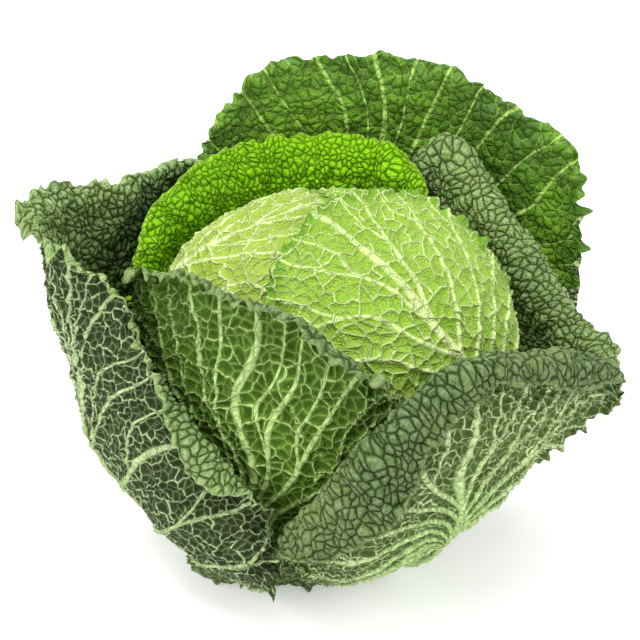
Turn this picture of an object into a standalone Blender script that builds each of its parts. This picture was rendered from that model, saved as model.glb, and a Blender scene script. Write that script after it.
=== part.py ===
"""Savoy cabbage: a ball-shaped head in a cup of loose wrapper leaves on a cut stump.

Units are metres, +Z is up and the origin is the centre of the stump's flat cut face.
Every leaf is an open sheet given a thickness by Solidify. The sheet is the leaf's
upper side, which faces the head, and the flesh grows away from the head.
"""
import math

import bmesh
import bpy
import numpy as np

OBJECT_NAME = "savoy_cabbage"
MM = 0.001

# Driving dimensions, millimetres and degrees
HEAD_CENTRE = 105.0          # height of the middle of the head
HEAD_RADIUS = 82.4           # upper side of the outermost head leaf
HEAD_LAYER = 3.2             # step from one head leaf to the next
HEART_RADIUS = 71.3
STUMP_RADIUS = 17.0
STUMP_TOP_RADIUS = 13.0
STUMP_TOP = 32.6
HEAD_START = 6.0             # angle at the head's foot to the point its leaves fan out from
HEAD_FOOT = 10.5             # length from that point at which a head leaf starts
STALK_START = 19.0           # distance from the axis at which a loose leaf's stalk starts
STALK_SPREAD = 26.0          # half angle of that stalk about the axis
FLOOR_GAP = 6.0              # lowest height of a leaf's upper side, with room for its flesh
BLADE_THICKNESS = 1.5
HEAD_THICKNESS = 1.3
STALK_THICKNESS = 5.0
STALK_HALF_SHARE = 0.14      # half width of the thick stalk, as a share of the leaf
RIB_RISE = 0.9               # raised veins, away from the head
PUFF_DEPTH = 1.1             # puffed fields between them, towards the head
CROSS_VEIN = 0.35            # height of a vein that crosses the leaf, as a share of a rib's
HEAD_RIB_RISE = 0.6
HEAD_PUFF_DEPTH = 0.6
RUFFLE = 2.2                 # waves of a loose leaf's margin

# Mesh: fields across a leaf, along its blade and along its rolled margin
ACROSS = 32
ALONG = 10
ALONG_ROLL = 5
HEAD_ACROSS = 20
HEAD_ALONG = 12

# Head leaves, innermost first. "reach" is share across the leaf, length. "lanes" is
# distance from the leaf's foot, then the headings of its left edge, middle and right edge.
HEAD_LEAVES = (
    dict(
        name="head_leaf_back", azimuth=118, colour=(0.55, 0.68, 0.26),
        reach=((-1, 168), (-0.5, 206), (0, 214), (0.5, 206), (1, 168)),
        lanes=((0, -60, 0, 60), (60, -80, 0, 80), (260, -84, 0, 84))),
    dict(
        name="head_leaf_right", azimuth=48, colour=(0.58, 0.72, 0.28),
        reach=((-1, 170), (-0.5, 212), (0, 222), (0.5, 212), (1, 168)),
        lanes=((0, -60, 0, 60), (60, -78, 0, 78), (260, -82, 0, 80))),
    dict(
        name="head_leaf_left", azimuth=185, colour=(0.62, 0.74, 0.32),
        reach=((-1, 172), (-0.5, 206), (0, 224), (0.5, 222), (1, 190)),
        lanes=((0, -60, 0, 60), (60, -76, 0, 80), (260, -80, 0, 92))),
    dict(
        name="head_leaf_front", azimuth=318, colour=(0.60, 0.73, 0.28),
        reach=((-1, 206), (-0.75, 231), (-0.5, 243), (0, 248), (0.5, 244), (0.8, 232), (1, 212)),
        lanes=((0, -55, 0, 50), (60, -52, 0, 44), (125, -54, 0, 40), (150, -55, -2, 36), (178, -62, -10, 34),
               (210, -72, -20, 48), (235, -76, -34, 60), (260, -70, -38, 60))),
)

# Loose leaves. "rim" is share across the leaf, then azimuth, distance from the axis and
# height of the line that the margin folds at, then distance and height of the belly that
# the blade swings out to below it. "roll" is share across the leaf, then width of the
# margin past that line, radius of its roll and the angle it turns through.
LOOSE_LEAVES = (
    dict(
        name="wrapper_leaf_left", azimuth=192, tier=11, low=0.65, grow=0.6, colour=(0.20, 0.32, 0.16),
        rim=((-1.0, 120, 99, 110, 102, 54), (-0.8, 128, 110, 156, 116, 68), (-0.6, 142, 112, 162, 122, 69),
             (-0.4, 156, 118, 160, 125, 67), (-0.2, 168, 134, 166, 126, 66), (0.0, 181, 137, 163, 126, 63),
             (0.15, 192, 118, 160, 127, 62), (0.3, 201, 107, 151, 124, 62), (0.5, 214, 101, 124, 120, 54),
             (0.68, 230, 99, 100, 116, 46), (0.86, 244, 97, 78, 108, 38), (1.0, 247, 87, 46, 92, 24)),
        roll=((-1, 6, 6, 30), (-0.6, 8, 6, 40), (-0.2, 14, 8, 100), (0, 16, 9, 90), (0.2, 10, 5, 60),
              (0.4, 12, 5, 110), (0.55, 30, 6, 165), (0.68, 40, 7, 170), (0.86, 20, 5, 150), (1, 4, 5, 40))),
    dict(
        name="wrapper_leaf_right", azimuth=320, tier=7, low=0.50, grow=0.4, colour=(0.22, 0.34, 0.18),
        rim=((-1.0, 241, 54, 6, 45, 4), (-0.85, 256, 76, 40, 76, 18), (-0.68, 267, 92, 76, 97, 34),
             (-0.5, 277, 97, 106, 104, 44), (-0.33, 286, 98, 128, 106, 51), (-0.17, 296, 98, 142, 106, 56),
             (0.0, 307, 98, 143, 105, 57), (0.2, 320, 101, 136, 104, 56), (0.45, 337, 108, 122, 102, 54),
             (0.75, 351, 120, 104, 100, 50), (1.0, 359, 131, 74, 94, 44)),
        roll=((-1, 4, 4, 30), (-0.85, 14, 5, 140), (-0.68, 44, 7, 172), (-0.5, 52, 7, 172),
              (-0.33, 38, 6, 170), (0, 32, 6, 165), (0.45, 32, 6, 160), (0.75, 22, 5, 150),
              (1, 4, 5, 40))),
    dict(
        name="wrapper_leaf_back", azimuth=70, tier=7, low=0.65, grow=0.4, colour=(0.12, 0.30, 0.08),
        rim=((-1.0, 26, 124, 84, 134, 40), (-0.85, 28, 132, 116, 140, 52), (-0.7, 31, 138, 147, 141, 64),
             (-0.55, 38, 135, 166, 138, 72), (-0.4, 47, 129, 178, 136, 77), (-0.2, 61, 125, 194, 134, 84),
             (0.0, 76, 119, 200, 132, 86), (0.25, 94, 117, 200, 130, 86), (0.5, 107, 116, 198, 130, 84),
             (0.7, 116, 119, 184, 131, 80), (0.85, 123, 121, 163, 132, 68), (1.0, 130, 120, 122, 133, 52)),
        roll=((-1, 6, 8, 30), (0, 8, 8, 40), (1, 6, 8, 20))),
    dict(
        name="inner_leaf_front", azimuth=240, tier=17, low=0.50, grow=0.3, colour=(0.24, 0.38, 0.16),
        rim=((-1.0, 177, 93, 108, 102, 50), (-0.75, 188, 96, 146, 105, 64), (-0.5, 205, 86, 161, 102, 68),
             (-0.25, 222, 80, 167, 101, 68), (0.0, 243, 78, 165, 100, 67), (0.25, 258, 80, 160, 99, 66),
             (0.5, 272, 85, 146, 98, 62), (0.75, 286, 87, 124, 95, 60), (1.0, 300, 86, 98, 90, 58)),
        roll=((-1, 8, 4, 60), (0, 10, 4, 100), (0.5, 12, 4, 120), (1, 8, 4, 60))),
    dict(
        name="inner_leaf_right", azimuth=26, tier=14, low=0.52, grow=0.3, colour=(0.16, 0.28, 0.15),
        rim=((-1.0, -8, 102, 82, 84, 50), (-0.75, 5, 120, 90, 108, 47), (-0.5, 16, 107, 97, 112, 46),
             (-0.25, 26, 100, 108, 110, 48), (0.0, 34, 97, 123, 108, 55), (0.25, 43, 95, 136, 107, 61),
             (0.5, 52, 95, 149, 106, 66), (0.75, 60, 97, 157, 106, 70), (1.0, 67, 98, 132, 106, 58)),
        roll=((-1, 8, 6, 60), (-0.75, 16, 7, 120), (-0.45, 42, 9, 180), (-0.1, 52, 10, 200),
              (0.4, 52, 10, 210), (0.75, 42, 9, 200), (1, 12, 7, 90))),
    dict(
        name="inner_leaf_back", azimuth=115, tier=20, low=0.55, grow=0.3, colour=(0.16, 0.46, 0.05),
        rim=((-1.0, 62, 86, 108, 92, 56), (-0.8, 64, 87, 142, 96, 63), (-0.55, 72, 88, 150, 100, 66),
             (-0.3, 86, 90, 152, 101, 66), (0.0, 103, 91, 151, 102, 66), (0.25, 120, 91, 149, 102, 65),
             (0.5, 137, 90, 145, 102, 62), (0.75, 155, 91, 139, 101, 60), (1.0, 171, 90, 122, 97, 58)),
        roll=((-1, 6, 6, 20), (-0.8, 10, 8, 30), (-0.5, 20, 16, 55), (0, 24, 18, 60), (0.6, 24, 18, 60),
              (1, 10, 14, 30))),
)


def ease(x):
    """Smooth step from 0 to 1."""
    x = np.clip(x, 0.0, 1.0)
    return x * x * (3.0 - 2.0 * x)


def unit(vectors):
    """Vectors scaled to length 1."""
    return vectors / np.linalg.norm(vectors, axis=-1, keepdims=True)


def through(table, x):
    """Values at x of the smooth curve through a table whose first column is the parameter."""
    rows = np.asarray(table, float)
    keys, values = rows[:, 0], rows[:, 1:]
    width = np.diff(keys)[:, None]
    slope = np.diff(values, axis=0) / width
    inner = (slope[:-1] * width[1:] + slope[1:] * width[:-1]) / (width[1:] + width[:-1])
    tangent = np.vstack([slope[:1], inner, slope[-1:]])
    x = np.clip(x, keys[0], keys[-1])
    i = np.clip(np.searchsorted(keys, x, side="right") - 1, 0, len(keys) - 2)
    step = (keys[i + 1] - keys[i])[..., None]
    u = (x - keys[i])[..., None] / step
    start = values[i] * (1 + 2 * u) * (1 - u) ** 2 + tangent[i] * step * u * (1 - u) ** 2
    end = values[i + 1] * u * u * (3 - 2 * u) - tangent[i + 1] * step * u * u * (1 - u)
    return start + end


def blade_point(leaf, f, t):
    """Point of a loose leaf's blade: f from -1 to 1 across it, t from 0 at the stalk to 1 at the fold.

    Each line of constant f is a cubic Bezier in radius and height. Its azimuth opens from
    the stalk's own width to the rim's.
    """
    azimuth, radius, height, belly, belly_height = np.moveaxis(through(leaf["rim"], f), -1, 0)
    low_radius = STALK_START + leaf["low"] * (belly - STALK_START)
    low_height = 0.5 * leaf["tier"]
    s = 1.0 - t
    r = s ** 3 * STALK_START + 3 * s * s * t * low_radius + 3 * s * t * t * belly + t ** 3 * radius
    z = s ** 3 * leaf["tier"] + 3 * s * s * t * low_height + 3 * s * t * t * belly_height + t ** 3 * height
    narrow = leaf["azimuth"] + STALK_SPREAD * f
    angle = np.radians(azimuth + (narrow - azimuth) * (1.0 - ease(t / leaf["grow"])))
    return np.stack([r * np.cos(angle), r * np.sin(angle), z], -1)


def margin_point(leaf, f, u):
    """Point of a loose leaf's rolled margin, u from 0 at the fold to 1 at the edge."""
    width, radius, turn = np.moveaxis(through(leaf["roll"], f), -1, 0)
    past = u * width
    turn = np.radians(turn)
    step = 1e-3
    top = np.ones_like(f)
    fold = blade_point(leaf, f, top)
    onward = unit(fold - blade_point(leaf, f, top - step))
    after, before = np.minimum(f + step, 1), np.maximum(f - step, -1)
    along = unit(blade_point(leaf, after, top) - blade_point(leaf, before, top))
    away = unit(np.cross(along, onward))
    square = unit(np.cross(away, along))
    onward = unit(square + 0.35 * (onward - square))
    angle = np.minimum(past / radius, turn)
    straight = np.maximum(past - radius * turn, 0.0)
    forward = radius * np.sin(angle) + straight * np.cos(turn)
    outward = radius * (1 - np.cos(angle)) + straight * np.sin(turn)
    return fold + forward[..., None] * onward + outward[..., None] * away


def head_point(leaf, radius, f, t):
    """Point of a head leaf, which lies on a ball: f across it, t from its foot to its margin."""
    reach = through(leaf["reach"], f)[..., 0]
    r = HEAD_FOOT + t * (reach - HEAD_FOOT)
    left, middle, right = np.moveaxis(through(leaf["lanes"], r), -1, 0)
    heading = np.radians(middle + np.abs(f) * (np.where(f < 0, left, right) - middle))
    tilt, turn = math.radians(HEAD_START), math.radians(leaf["azimuth"])
    foot = np.array([math.sin(tilt) * math.cos(turn), math.sin(tilt) * math.sin(turn), -math.cos(tilt)])
    upward = np.array([math.cos(tilt) * math.cos(turn), math.cos(tilt) * math.sin(turn), math.sin(tilt)])
    sideways = np.array([-math.sin(turn), math.cos(turn), 0.0])
    course = np.cos(heading)[..., None] * upward + np.sin(heading)[..., None] * sideways
    arc = (r / radius)[..., None]
    return radius * (np.cos(arc) * foot + np.sin(arc) * course) + np.array([0.0, 0.0, HEAD_CENTRE])


def normals(points):
    """Unit normals of a grid of points, facing away from the head."""
    across = np.gradient(points, axis=1)
    along = np.gradient(points, axis=0)
    return unit(np.cross(across, along))


def net_relief(rows, columns, rise, depth):
    """Raised net: every other line across and along is a vein, and each field between is a puff."""
    j, i = np.meshgrid(np.arange(rows), np.arange(columns), indexing="ij")
    field = np.where(j % 2 == 0, CROSS_VEIN * rise, -depth)
    return np.where(i % 2 == 0, rise, field)


def add_leaf(name, grid, flesh, thickness, material, collection):
    """Sheet through a grid of points, thickened away from the head by Solidify.

    flesh is each point's share of the full thickness.
    """
    rows, columns = grid.shape[:2]
    j, i = np.meshgrid(np.arange(rows - 1), np.arange(columns - 1), indexing="ij")
    corner = (j * columns + i).ravel()
    right, above, across = corner + 1, corner + columns, corner + columns + 1
    first = np.stack([corner, right, across], -1)
    second = np.stack([corner, across, above], -1)
    triangles = np.concatenate([first, second])
    mesh = bpy.data.meshes.new(name)
    mesh.from_pydata((grid.reshape(-1, 3) * MM).tolist(), [], triangles.tolist())
    mesh.shade_smooth()
    mesh.materials.append(material)
    leaf = bpy.data.objects.new(name, mesh)
    collection.objects.link(leaf)
    group = leaf.vertex_groups.new(name="flesh")
    for index, share in enumerate(flesh.ravel().tolist()):
        group.add([index], share, "REPLACE")
    solid = leaf.modifiers.new("Thickness", "SOLIDIFY")
    solid.thickness = thickness * MM
    solid.offset = 1.0
    solid.vertex_group = "flesh"
    return leaf


def add_loose_leaf(leaf, collection):
    """Wrapper or inner leaf: blade, rolled margin, raised net, ruffled edge and thick stalk."""
    f = np.linspace(-1, 1, ACROSS + 1)
    t = np.linspace(0, 1, ALONG + 1)
    u = np.linspace(0, 1, ALONG_ROLL + 1)[1:]
    blade = blade_point(leaf, *np.meshgrid(f, t))
    margin = margin_point(leaf, *np.meshgrid(f, u))
    grid = np.vstack([blade, margin])
    rows = grid.shape[0]
    away = normals(grid)
    row = np.arange(rows)[:, None]
    strength = ease(row / 4.0) * (1.0 - 0.5 * ease((row - ALONG) / ALONG_ROLL))
    relief = net_relief(rows, ACROSS + 1, RIB_RISE, PUFF_DEPTH) * strength
    edge = ease((row - ALONG) / ALONG_ROLL)
    ruffle = RUFFLE * np.sin(0.5 * math.pi * (np.arange(ACROSS + 1) + 0.5))[None, :] * edge
    grid = grid + (relief + ruffle)[..., None] * away
    grid[..., 2] = np.maximum(grid[..., 2], FLOOR_GAP)
    stalk = np.exp(-(f / STALK_HALF_SHARE) ** 2)[None, :] * (1.0 - ease(row / ALONG))
    flesh = (BLADE_THICKNESS + (STALK_THICKNESS - BLADE_THICKNESS) * stalk) / STALK_THICKNESS
    material = plain_material(leaf["name"], leaf["colour"], 0.55)
    return add_leaf(leaf["name"], grid, flesh, STALK_THICKNESS, material, collection)


def add_head_leaf(leaf, radius, collection):
    """Head leaf: part of a ball, with a raised net."""
    f = np.linspace(-1, 1, HEAD_ACROSS + 1)
    t = np.linspace(0, 1, HEAD_ALONG + 1)
    grid = head_point(leaf, radius, *np.meshgrid(f, t))
    away = unit(grid - np.array([0.0, 0.0, HEAD_CENTRE]))
    row = np.arange(HEAD_ALONG + 1)[:, None]
    relief = net_relief(HEAD_ALONG + 1, HEAD_ACROSS + 1, HEAD_RIB_RISE, HEAD_PUFF_DEPTH) * ease(row / 3.0)
    grid = grid + relief[..., None] * away
    flesh = np.ones(grid.shape[:2])
    material = plain_material(leaf["name"], leaf["colour"], 0.5)
    return add_leaf(leaf["name"], grid, flesh, HEAD_THICKNESS, material, collection)


def add_heart(collection):
    """Tightly packed leaves inside the head, as one ball."""
    mesh = bpy.data.meshes.new("heart")
    shape = bmesh.new()
    bmesh.ops.create_uvsphere(shape, u_segments=24, v_segments=12, radius=HEART_RADIUS * MM)
    bmesh.ops.translate(shape, verts=shape.verts, vec=(0, 0, HEAD_CENTRE * MM))
    shape.to_mesh(mesh)
    shape.free()
    mesh.shade_smooth()
    mesh.materials.append(plain_material("heart", (0.62, 0.70, 0.30), 0.5))
    collection.objects.link(bpy.data.objects.new("heart", mesh))


def add_stump(collection):
    """Cut stump: a short round stem, flat at the bottom."""
    mesh = bpy.data.meshes.new("stump")
    shape = bmesh.new()
    bmesh.ops.create_cone(
        shape, cap_ends=True, segments=32, radius1=STUMP_RADIUS * MM, radius2=STUMP_TOP_RADIUS * MM,
        depth=STUMP_TOP * MM)
    bmesh.ops.translate(shape, verts=shape.verts, vec=(0, 0, 0.5 * STUMP_TOP * MM))
    shape.to_mesh(mesh)
    shape.free()
    mesh.materials.append(plain_material("stump", (0.72, 0.74, 0.52), 0.6))
    collection.objects.link(bpy.data.objects.new("stump", mesh))


def plain_material(name, colour, roughness):
    """Principled material of one colour."""
    material = bpy.data.materials.new(name)
    material.use_nodes = True
    shader = material.node_tree.nodes["Principled BSDF"]
    shader.inputs["Base Color"].default_value = (*colour, 1.0)
    shader.inputs["Roughness"].default_value = roughness
    shader.inputs["Metallic"].default_value = 0.0
    return material


def main():
    for item in list(bpy.data.objects):
        bpy.data.objects.remove(item, do_unlink=True)
    collection = bpy.data.collections.new(OBJECT_NAME)
    bpy.context.scene.collection.children.link(collection)
    add_stump(collection)
    add_heart(collection)
    layers = len(HEAD_LEAVES)
    for layer, leaf in enumerate(HEAD_LEAVES):
        add_head_leaf(leaf, HEAD_RADIUS - HEAD_LAYER * (layers - 1 - layer), collection)
    for leaf in LOOSE_LEAVES:
        add_loose_leaf(leaf, collection)


main()
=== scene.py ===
"""Savoy cabbage: the finished leaves, head, stump, floor, light and camera.

Shapes are worked out in millimetres and put into the meshes in metres. +Z is up and the
origin is the centre of the stump's cut face. Every leaf is a thin closed sheet with its
own relief: the veins stand up on the outer side, which faces away from the head, and the
fields between them are puffed up on the inner side.
"""
import math

import bpy
import numpy as np
from bpy.props import FloatProperty, FloatVectorProperty, PointerProperty
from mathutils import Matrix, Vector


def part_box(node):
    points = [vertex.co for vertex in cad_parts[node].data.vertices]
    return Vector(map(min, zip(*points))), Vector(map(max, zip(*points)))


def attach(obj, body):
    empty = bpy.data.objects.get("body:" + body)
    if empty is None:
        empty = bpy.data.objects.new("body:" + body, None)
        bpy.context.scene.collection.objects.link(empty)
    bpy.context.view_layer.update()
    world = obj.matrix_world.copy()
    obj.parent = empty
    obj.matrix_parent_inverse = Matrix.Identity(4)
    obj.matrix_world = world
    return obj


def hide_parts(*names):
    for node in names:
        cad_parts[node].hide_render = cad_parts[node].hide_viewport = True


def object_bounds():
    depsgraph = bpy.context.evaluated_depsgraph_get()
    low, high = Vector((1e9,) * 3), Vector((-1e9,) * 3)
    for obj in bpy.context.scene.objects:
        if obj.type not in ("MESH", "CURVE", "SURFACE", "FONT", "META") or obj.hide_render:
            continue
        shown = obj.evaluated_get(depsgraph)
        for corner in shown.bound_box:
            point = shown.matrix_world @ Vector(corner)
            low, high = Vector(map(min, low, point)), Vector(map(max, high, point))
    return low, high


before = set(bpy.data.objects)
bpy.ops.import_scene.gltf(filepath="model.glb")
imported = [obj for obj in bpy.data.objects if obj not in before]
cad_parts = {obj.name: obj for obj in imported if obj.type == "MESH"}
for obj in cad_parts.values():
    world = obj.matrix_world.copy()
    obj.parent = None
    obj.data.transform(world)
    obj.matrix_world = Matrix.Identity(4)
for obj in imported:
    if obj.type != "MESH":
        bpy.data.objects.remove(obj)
CAD_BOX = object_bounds()

bl_info = {
    "name": "Savoy Cabbage",
    "version": (1, 0, 0),
    "blender": (4, 5, 0),
    "location": "3D View > Sidebar > Cabbage",
    "description": "Builds the leaves, head and stump of a savoy cabbage and its studio",
    "category": "Add Mesh",
}

MM = 0.001
HEART_LOW, HEART_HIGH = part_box("heart")
HEAD_CENTRE = 500.0 * (HEART_LOW.z + HEART_HIGH.z)      # half the sum, in millimetres
HEART_RADIUS = 500.0 * (HEART_HIGH.z - HEART_LOW.z)
HEAD_RADIUS = HEART_RADIUS + 11.1
HEAD_LAYER = 3.2             # step from one head leaf to the next
HEAD_START = 6.0             # angle at the head's foot to the point its leaves fan out from
HEAD_FOOT = 10.5             # length from that point at which a head leaf starts
HEAD_SWELL = 11.0            # how far the head's left side stands out past the ball
STALK_START = 19.0           # distance from the axis at which a loose leaf's stalk starts
STALK_SPREAD = 26.0          # half angle of that stalk about the axis
FLOOR_GAP = 0.8              # lowest height of any leaf
ROLL_SLANT = 0.35            # share of the blade's slant that the rolled margin keeps
GOLDEN_ANGLE = 2.399963      # in radians, keeps waves of one sum from lining up

# Laying a leaf flat.
SURVEY_ACROSS, SURVEY_ALONG = 97, 161    # points of the survey table, both 1 past a multiple of 16
FOOT_ARM = 12.0              # radius of the first arc
ROUNDS = 220                 # rounds of settling at each of the three steps
OVERSHOOT = 1.3              # how far a point moves, against the way to its settled place

# The relief and the material both read these, so that the colours lie on the shapes.
THREAD_RANDOM = 0.9          # unevenness of the small cells of the vein net
LINK_RANDOM = 0.85           # unevenness of its large cells
RIB_END = 0.75               # width of a rib at the end of the leaf
RIB_GAIN = 1.1               # what its start adds to that
RIB_FINEST = 0.2             # width of ribs that touch each other
RIB_PER_GAP = 0.16           # what each millimetre between two ribs adds to that
FORK_SLIM = 1.5              # how much thinner a rib's fork is than the rib
MIDRIB_BROAD = 1.8           # how much broader the midrib is
FLANK = 0.42                 # share of a cell over which its field rises from its edge
NET_STEP, NET_RISE = 500.0, 300.0    # step between the leaves' parts of the net, and its rise

# Head leaves, innermost first: share across the leaf and length, then distance from the
# foot and the headings of the left edge, the middle and the right edge.
HEAD_LEAVES = {
    "head_leaf_back": dict(
        azimuth=118, layer=3,
        reach=((-1, 168), (-0.5, 214), (0, 228), (0.5, 216), (1, 168)),
        lanes=((0, -60, 0, 60), (60, -80, 0, 80), (260, -84, 0, 84))),
    "head_leaf_right": dict(
        azimuth=48, layer=2,
        reach=((-1, 172), (-0.5, 222), (0, 236), (0.5, 222), (1, 170)),
        lanes=((0, -60, 0, 60), (60, -78, 0, 78), (260, -82, 0, 80))),
    "head_leaf_left": dict(
        azimuth=185, layer=1,
        reach=((-1, 180), (-0.5, 222), (0, 240), (0.5, 238), (1, 200)),
        lanes=((0, -60, 0, 60), (60, -76, 0, 80), (260, -80, 0, 92))),
    "head_leaf_front": dict(
        azimuth=318, layer=0,
        reach=((-1, 206), (-0.75, 231), (-0.5, 243), (0, 248), (0.5, 244), (0.8, 232), (1, 212)),
        lanes=((0, -55, 0, 55), (60, -54, 0, 56), (125, -60, 0, 55), (150, -64, -2, 52), (178, -71, -10, 50),
               (210, -78, -20, 58), (235, -80, -34, 64), (260, -74, -38, 62))),
}

# Loose leaves: share across the leaf, then azimuth, distance from the axis and height of
# the fold, then distance and height of the belly below it. "roll" is share across the
# leaf, then width of the margin past the fold, radius of its roll and angle it turns through.
LOOSE_LEAVES = {
    "wrapper_leaf_left": dict(
        azimuth=192, tier=11, low=0.72, grow=0.6,
        rim=((-1.0, 120, 99, 110, 102, 54), (-0.8, 128, 110, 156, 118, 68), (-0.6, 142, 112, 162, 126, 69),
             (-0.4, 156, 118, 160, 131, 66), (-0.2, 168, 134, 166, 133, 63), (0.0, 181, 137, 163, 134, 60),
             (0.15, 192, 118, 160, 134, 59), (0.3, 201, 107, 150, 131, 58), (0.5, 214, 101, 122, 126, 50),
             (0.68, 230, 99, 98, 120, 43), (0.86, 244, 97, 77, 111, 36), (1.0, 250, 87, 46, 95, 22)),
        roll=((-1, 6, 6, 30), (-0.6, 8, 6, 40), (-0.2, 14, 8, 100), (0, 16, 9, 90), (0.2, 8, 5, 60),
              (0.4, 8, 5, 100), (0.55, 17, 6, 160), (0.68, 25, 6, 168), (0.86, 14, 5, 150), (1, 4, 5, 40))),
    "wrapper_leaf_right": dict(
        azimuth=320, tier=7, low=0.50, grow=0.4,
        rim=((-1.0, 241, 54, 6, 45, 4), (-0.85, 256, 76, 40, 76, 18), (-0.68, 267, 92, 76, 97, 34),
             (-0.5, 277, 97, 106, 104, 44), (-0.33, 286, 98, 128, 106, 51), (-0.17, 296, 98, 142, 106, 56),
             (0.0, 307, 98, 143, 105, 57), (0.2, 320, 101, 136, 104, 56), (0.45, 337, 108, 122, 102, 54),
             (0.75, 351, 120, 104, 100, 50), (1.0, 359, 131, 74, 94, 44)),
        roll=((-1, 4, 4, 30), (-0.85, 14, 5, 140), (-0.68, 40, 7, 172), (-0.5, 46, 7, 172),
              (-0.33, 33, 6, 170), (-0.17, 28, 6, 168), (0, 25, 6, 165), (0.45, 26, 6, 165),
              (0.75, 15, 5, 150), (1, 4, 5, 40))),
    "wrapper_leaf_back": dict(
        azimuth=70, tier=7, low=0.65, grow=0.4,
        rim=((-1.0, 26, 124, 84, 134, 40), (-0.85, 28, 133, 120, 140, 52), (-0.7, 32, 138, 153, 141, 64),
             (-0.55, 38, 136, 172, 138, 72), (-0.4, 47, 129, 181, 136, 77), (-0.2, 61, 125, 194, 134, 84),
             (0.0, 76, 119, 200, 132, 86), (0.25, 94, 117, 200, 130, 86), (0.5, 107, 116, 198, 130, 84),
             (0.7, 116, 119, 184, 131, 80), (0.85, 123, 121, 163, 132, 68), (1.0, 130, 120, 122, 133, 52)),
        roll=((-1, 6, 8, 30), (0, 8, 8, 40), (1, 6, 8, 20))),
    "inner_leaf_front": dict(
        azimuth=240, tier=17, low=0.50, grow=0.3,
        rim=((-1.0, 177, 93, 108, 102, 50), (-0.75, 188, 96, 146, 110, 64), (-0.5, 205, 87, 161, 110, 68),
             (-0.25, 222, 81, 167, 108, 68), (0.0, 243, 78, 165, 103, 67), (0.25, 258, 80, 160, 99, 66),
             (0.5, 272, 85, 146, 98, 62), (0.75, 286, 87, 124, 95, 60), (1.0, 300, 86, 98, 90, 58)),
        roll=((-1, 8, 4, 60), (0, 10, 4, 100), (0.5, 12, 4, 120), (1, 8, 4, 60))),
    "inner_leaf_right": dict(
        azimuth=26, tier=14, low=0.52, grow=0.3,
        rim=((-1.0, -8, 102, 82, 84, 50), (-0.75, 5, 120, 90, 108, 47), (-0.5, 16, 107, 97, 112, 46),
             (-0.25, 26, 100, 108, 110, 48), (0.0, 34, 97, 123, 108, 55), (0.25, 43, 95, 136, 107, 61),
             (0.5, 52, 95, 150, 106, 66), (0.75, 61, 97, 162, 106, 70), (1.0, 68, 98, 138, 106, 58)),
        roll=((-1, 8, 6, 60), (-0.75, 16, 7, 120), (-0.45, 38, 8, 180), (-0.1, 44, 8, 200),
              (0.4, 44, 8, 210), (0.75, 36, 8, 200), (1, 12, 6, 90))),
    "inner_leaf_back": dict(
        azimuth=115, tier=20, low=0.55, grow=0.3,
        rim=((-1.0, 62, 86, 108, 92, 56), (-0.8, 64, 87, 142, 96, 63), (-0.55, 72, 88, 150, 100, 66),
             (-0.3, 86, 90, 152, 101, 66), (0.0, 103, 91, 151, 102, 66), (0.25, 120, 91, 149, 102, 65),
             (0.5, 137, 90, 145, 102, 62), (0.75, 156, 93, 139, 102, 60), (1.0, 174, 98, 118, 104, 58)),
        roll=((-1, 6, 6, 20), (-0.8, 10, 8, 30), (-0.5, 20, 16, 55), (0, 24, 18, 60), (0.6, 24, 18, 60),
              (1, 10, 14, 30))),
}

# Small lobes of the wrapper leaves' lower margins: three rows of three points each, from the
# lobe's root to its tip, which steer a smooth patch.
LOBES = {
    "wrapper_left_lobe": (((-63.5, -75, 66), (-62.5, -77, 62), (-61.5, -70, 49)),
                          ((-48.1, -86, 75), (-47, -97, 68), (-48, -84, 44)),
                          ((-34.3, -80, 62.6), (-31, -86, 58), (-37.4, -74, 41))),
    "wrapper_left_tip": (((-41.7, -60, 29.3), (-41, -64, 24), (-43.8, -38, 2.2)),
                         ((-54, -64, 40), (-54, -72, 26), (-54, -44, 2.2)),
                         ((-68, -54, 33), (-78, -50, 20), (-66, -38, 3.5))),
    "wrapper_right_lobe": (((-5.6, -52, 30), (-5, -50, 14), (-7, -42, 1.8)),
                           ((-25, -60, 40), (-27, -62, 18), (-28, -50, 1.5)),
                           ((-42, -52, 30), (-48, -54, 18), (-47, -40, 1.8))),
}

# How a leaf of each kind is netted and shaped, in millimetres. "scale" is the net's size
# against the settings, "flesh" the thickness of the sheet and "stalk" that of its stalk.
# "puff" and "ridge" are the heights of the fields and of the veins for ribs, links and
# threads, and "calm" the share of the puffs near the stalk. "sway" is a long wave of the
# whole leaf, "ruffle" the waves of its margin, "lift" how far that stands off and "notch"
# how deep it is cut. "ribs" fan out on each side of the midrib from the place "fan", whose
# three values are the share across the leaf and along it at its start and the share across
# at its tip. "over", "bend", "spread" and "fork" are told at rib_lines.
KINDS = {
    "loose": dict(scale=1.0, flesh=0.8, stalk=5.0, puff=(1.3, 1.4, 1.7), ridge=(1.1, 0.40, 0.15), calm=0.45,
                  sway=1.2, ruffle=2.4, lift=0.0, notch=4.0,
                  ribs=5, over=140, bend=60, spread=1.2, fork=0.50, fan=(0.0, 0.1, 0.0)),
    "lobe": dict(scale=1.0, flesh=0.7, stalk=1.5, puff=(0.8, 0.8, 0.6), ridge=(0.8, 0.3, 0.15), calm=1.0,
                 sway=1.2, ruffle=1.6, lift=0.0, notch=3.0,
                 ribs=2, over=25, bend=20, spread=1.1, fork=0.80, fan=(0.0, 0.02, 0.0)),
    "head": dict(scale=1.0, flesh=0.9, stalk=2.0, puff=(0.9, 0.7, 0.9), ridge=(0.9, 0.6, 0.2), calm=1.0,
                 sway=0.0, ruffle=0.4, lift=-1.2, notch=1.2,
                 ribs=5, over=190, bend=70, spread=1.1, fork=0.50, fan=(0.0, 0.1, 0.0)),
}

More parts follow.
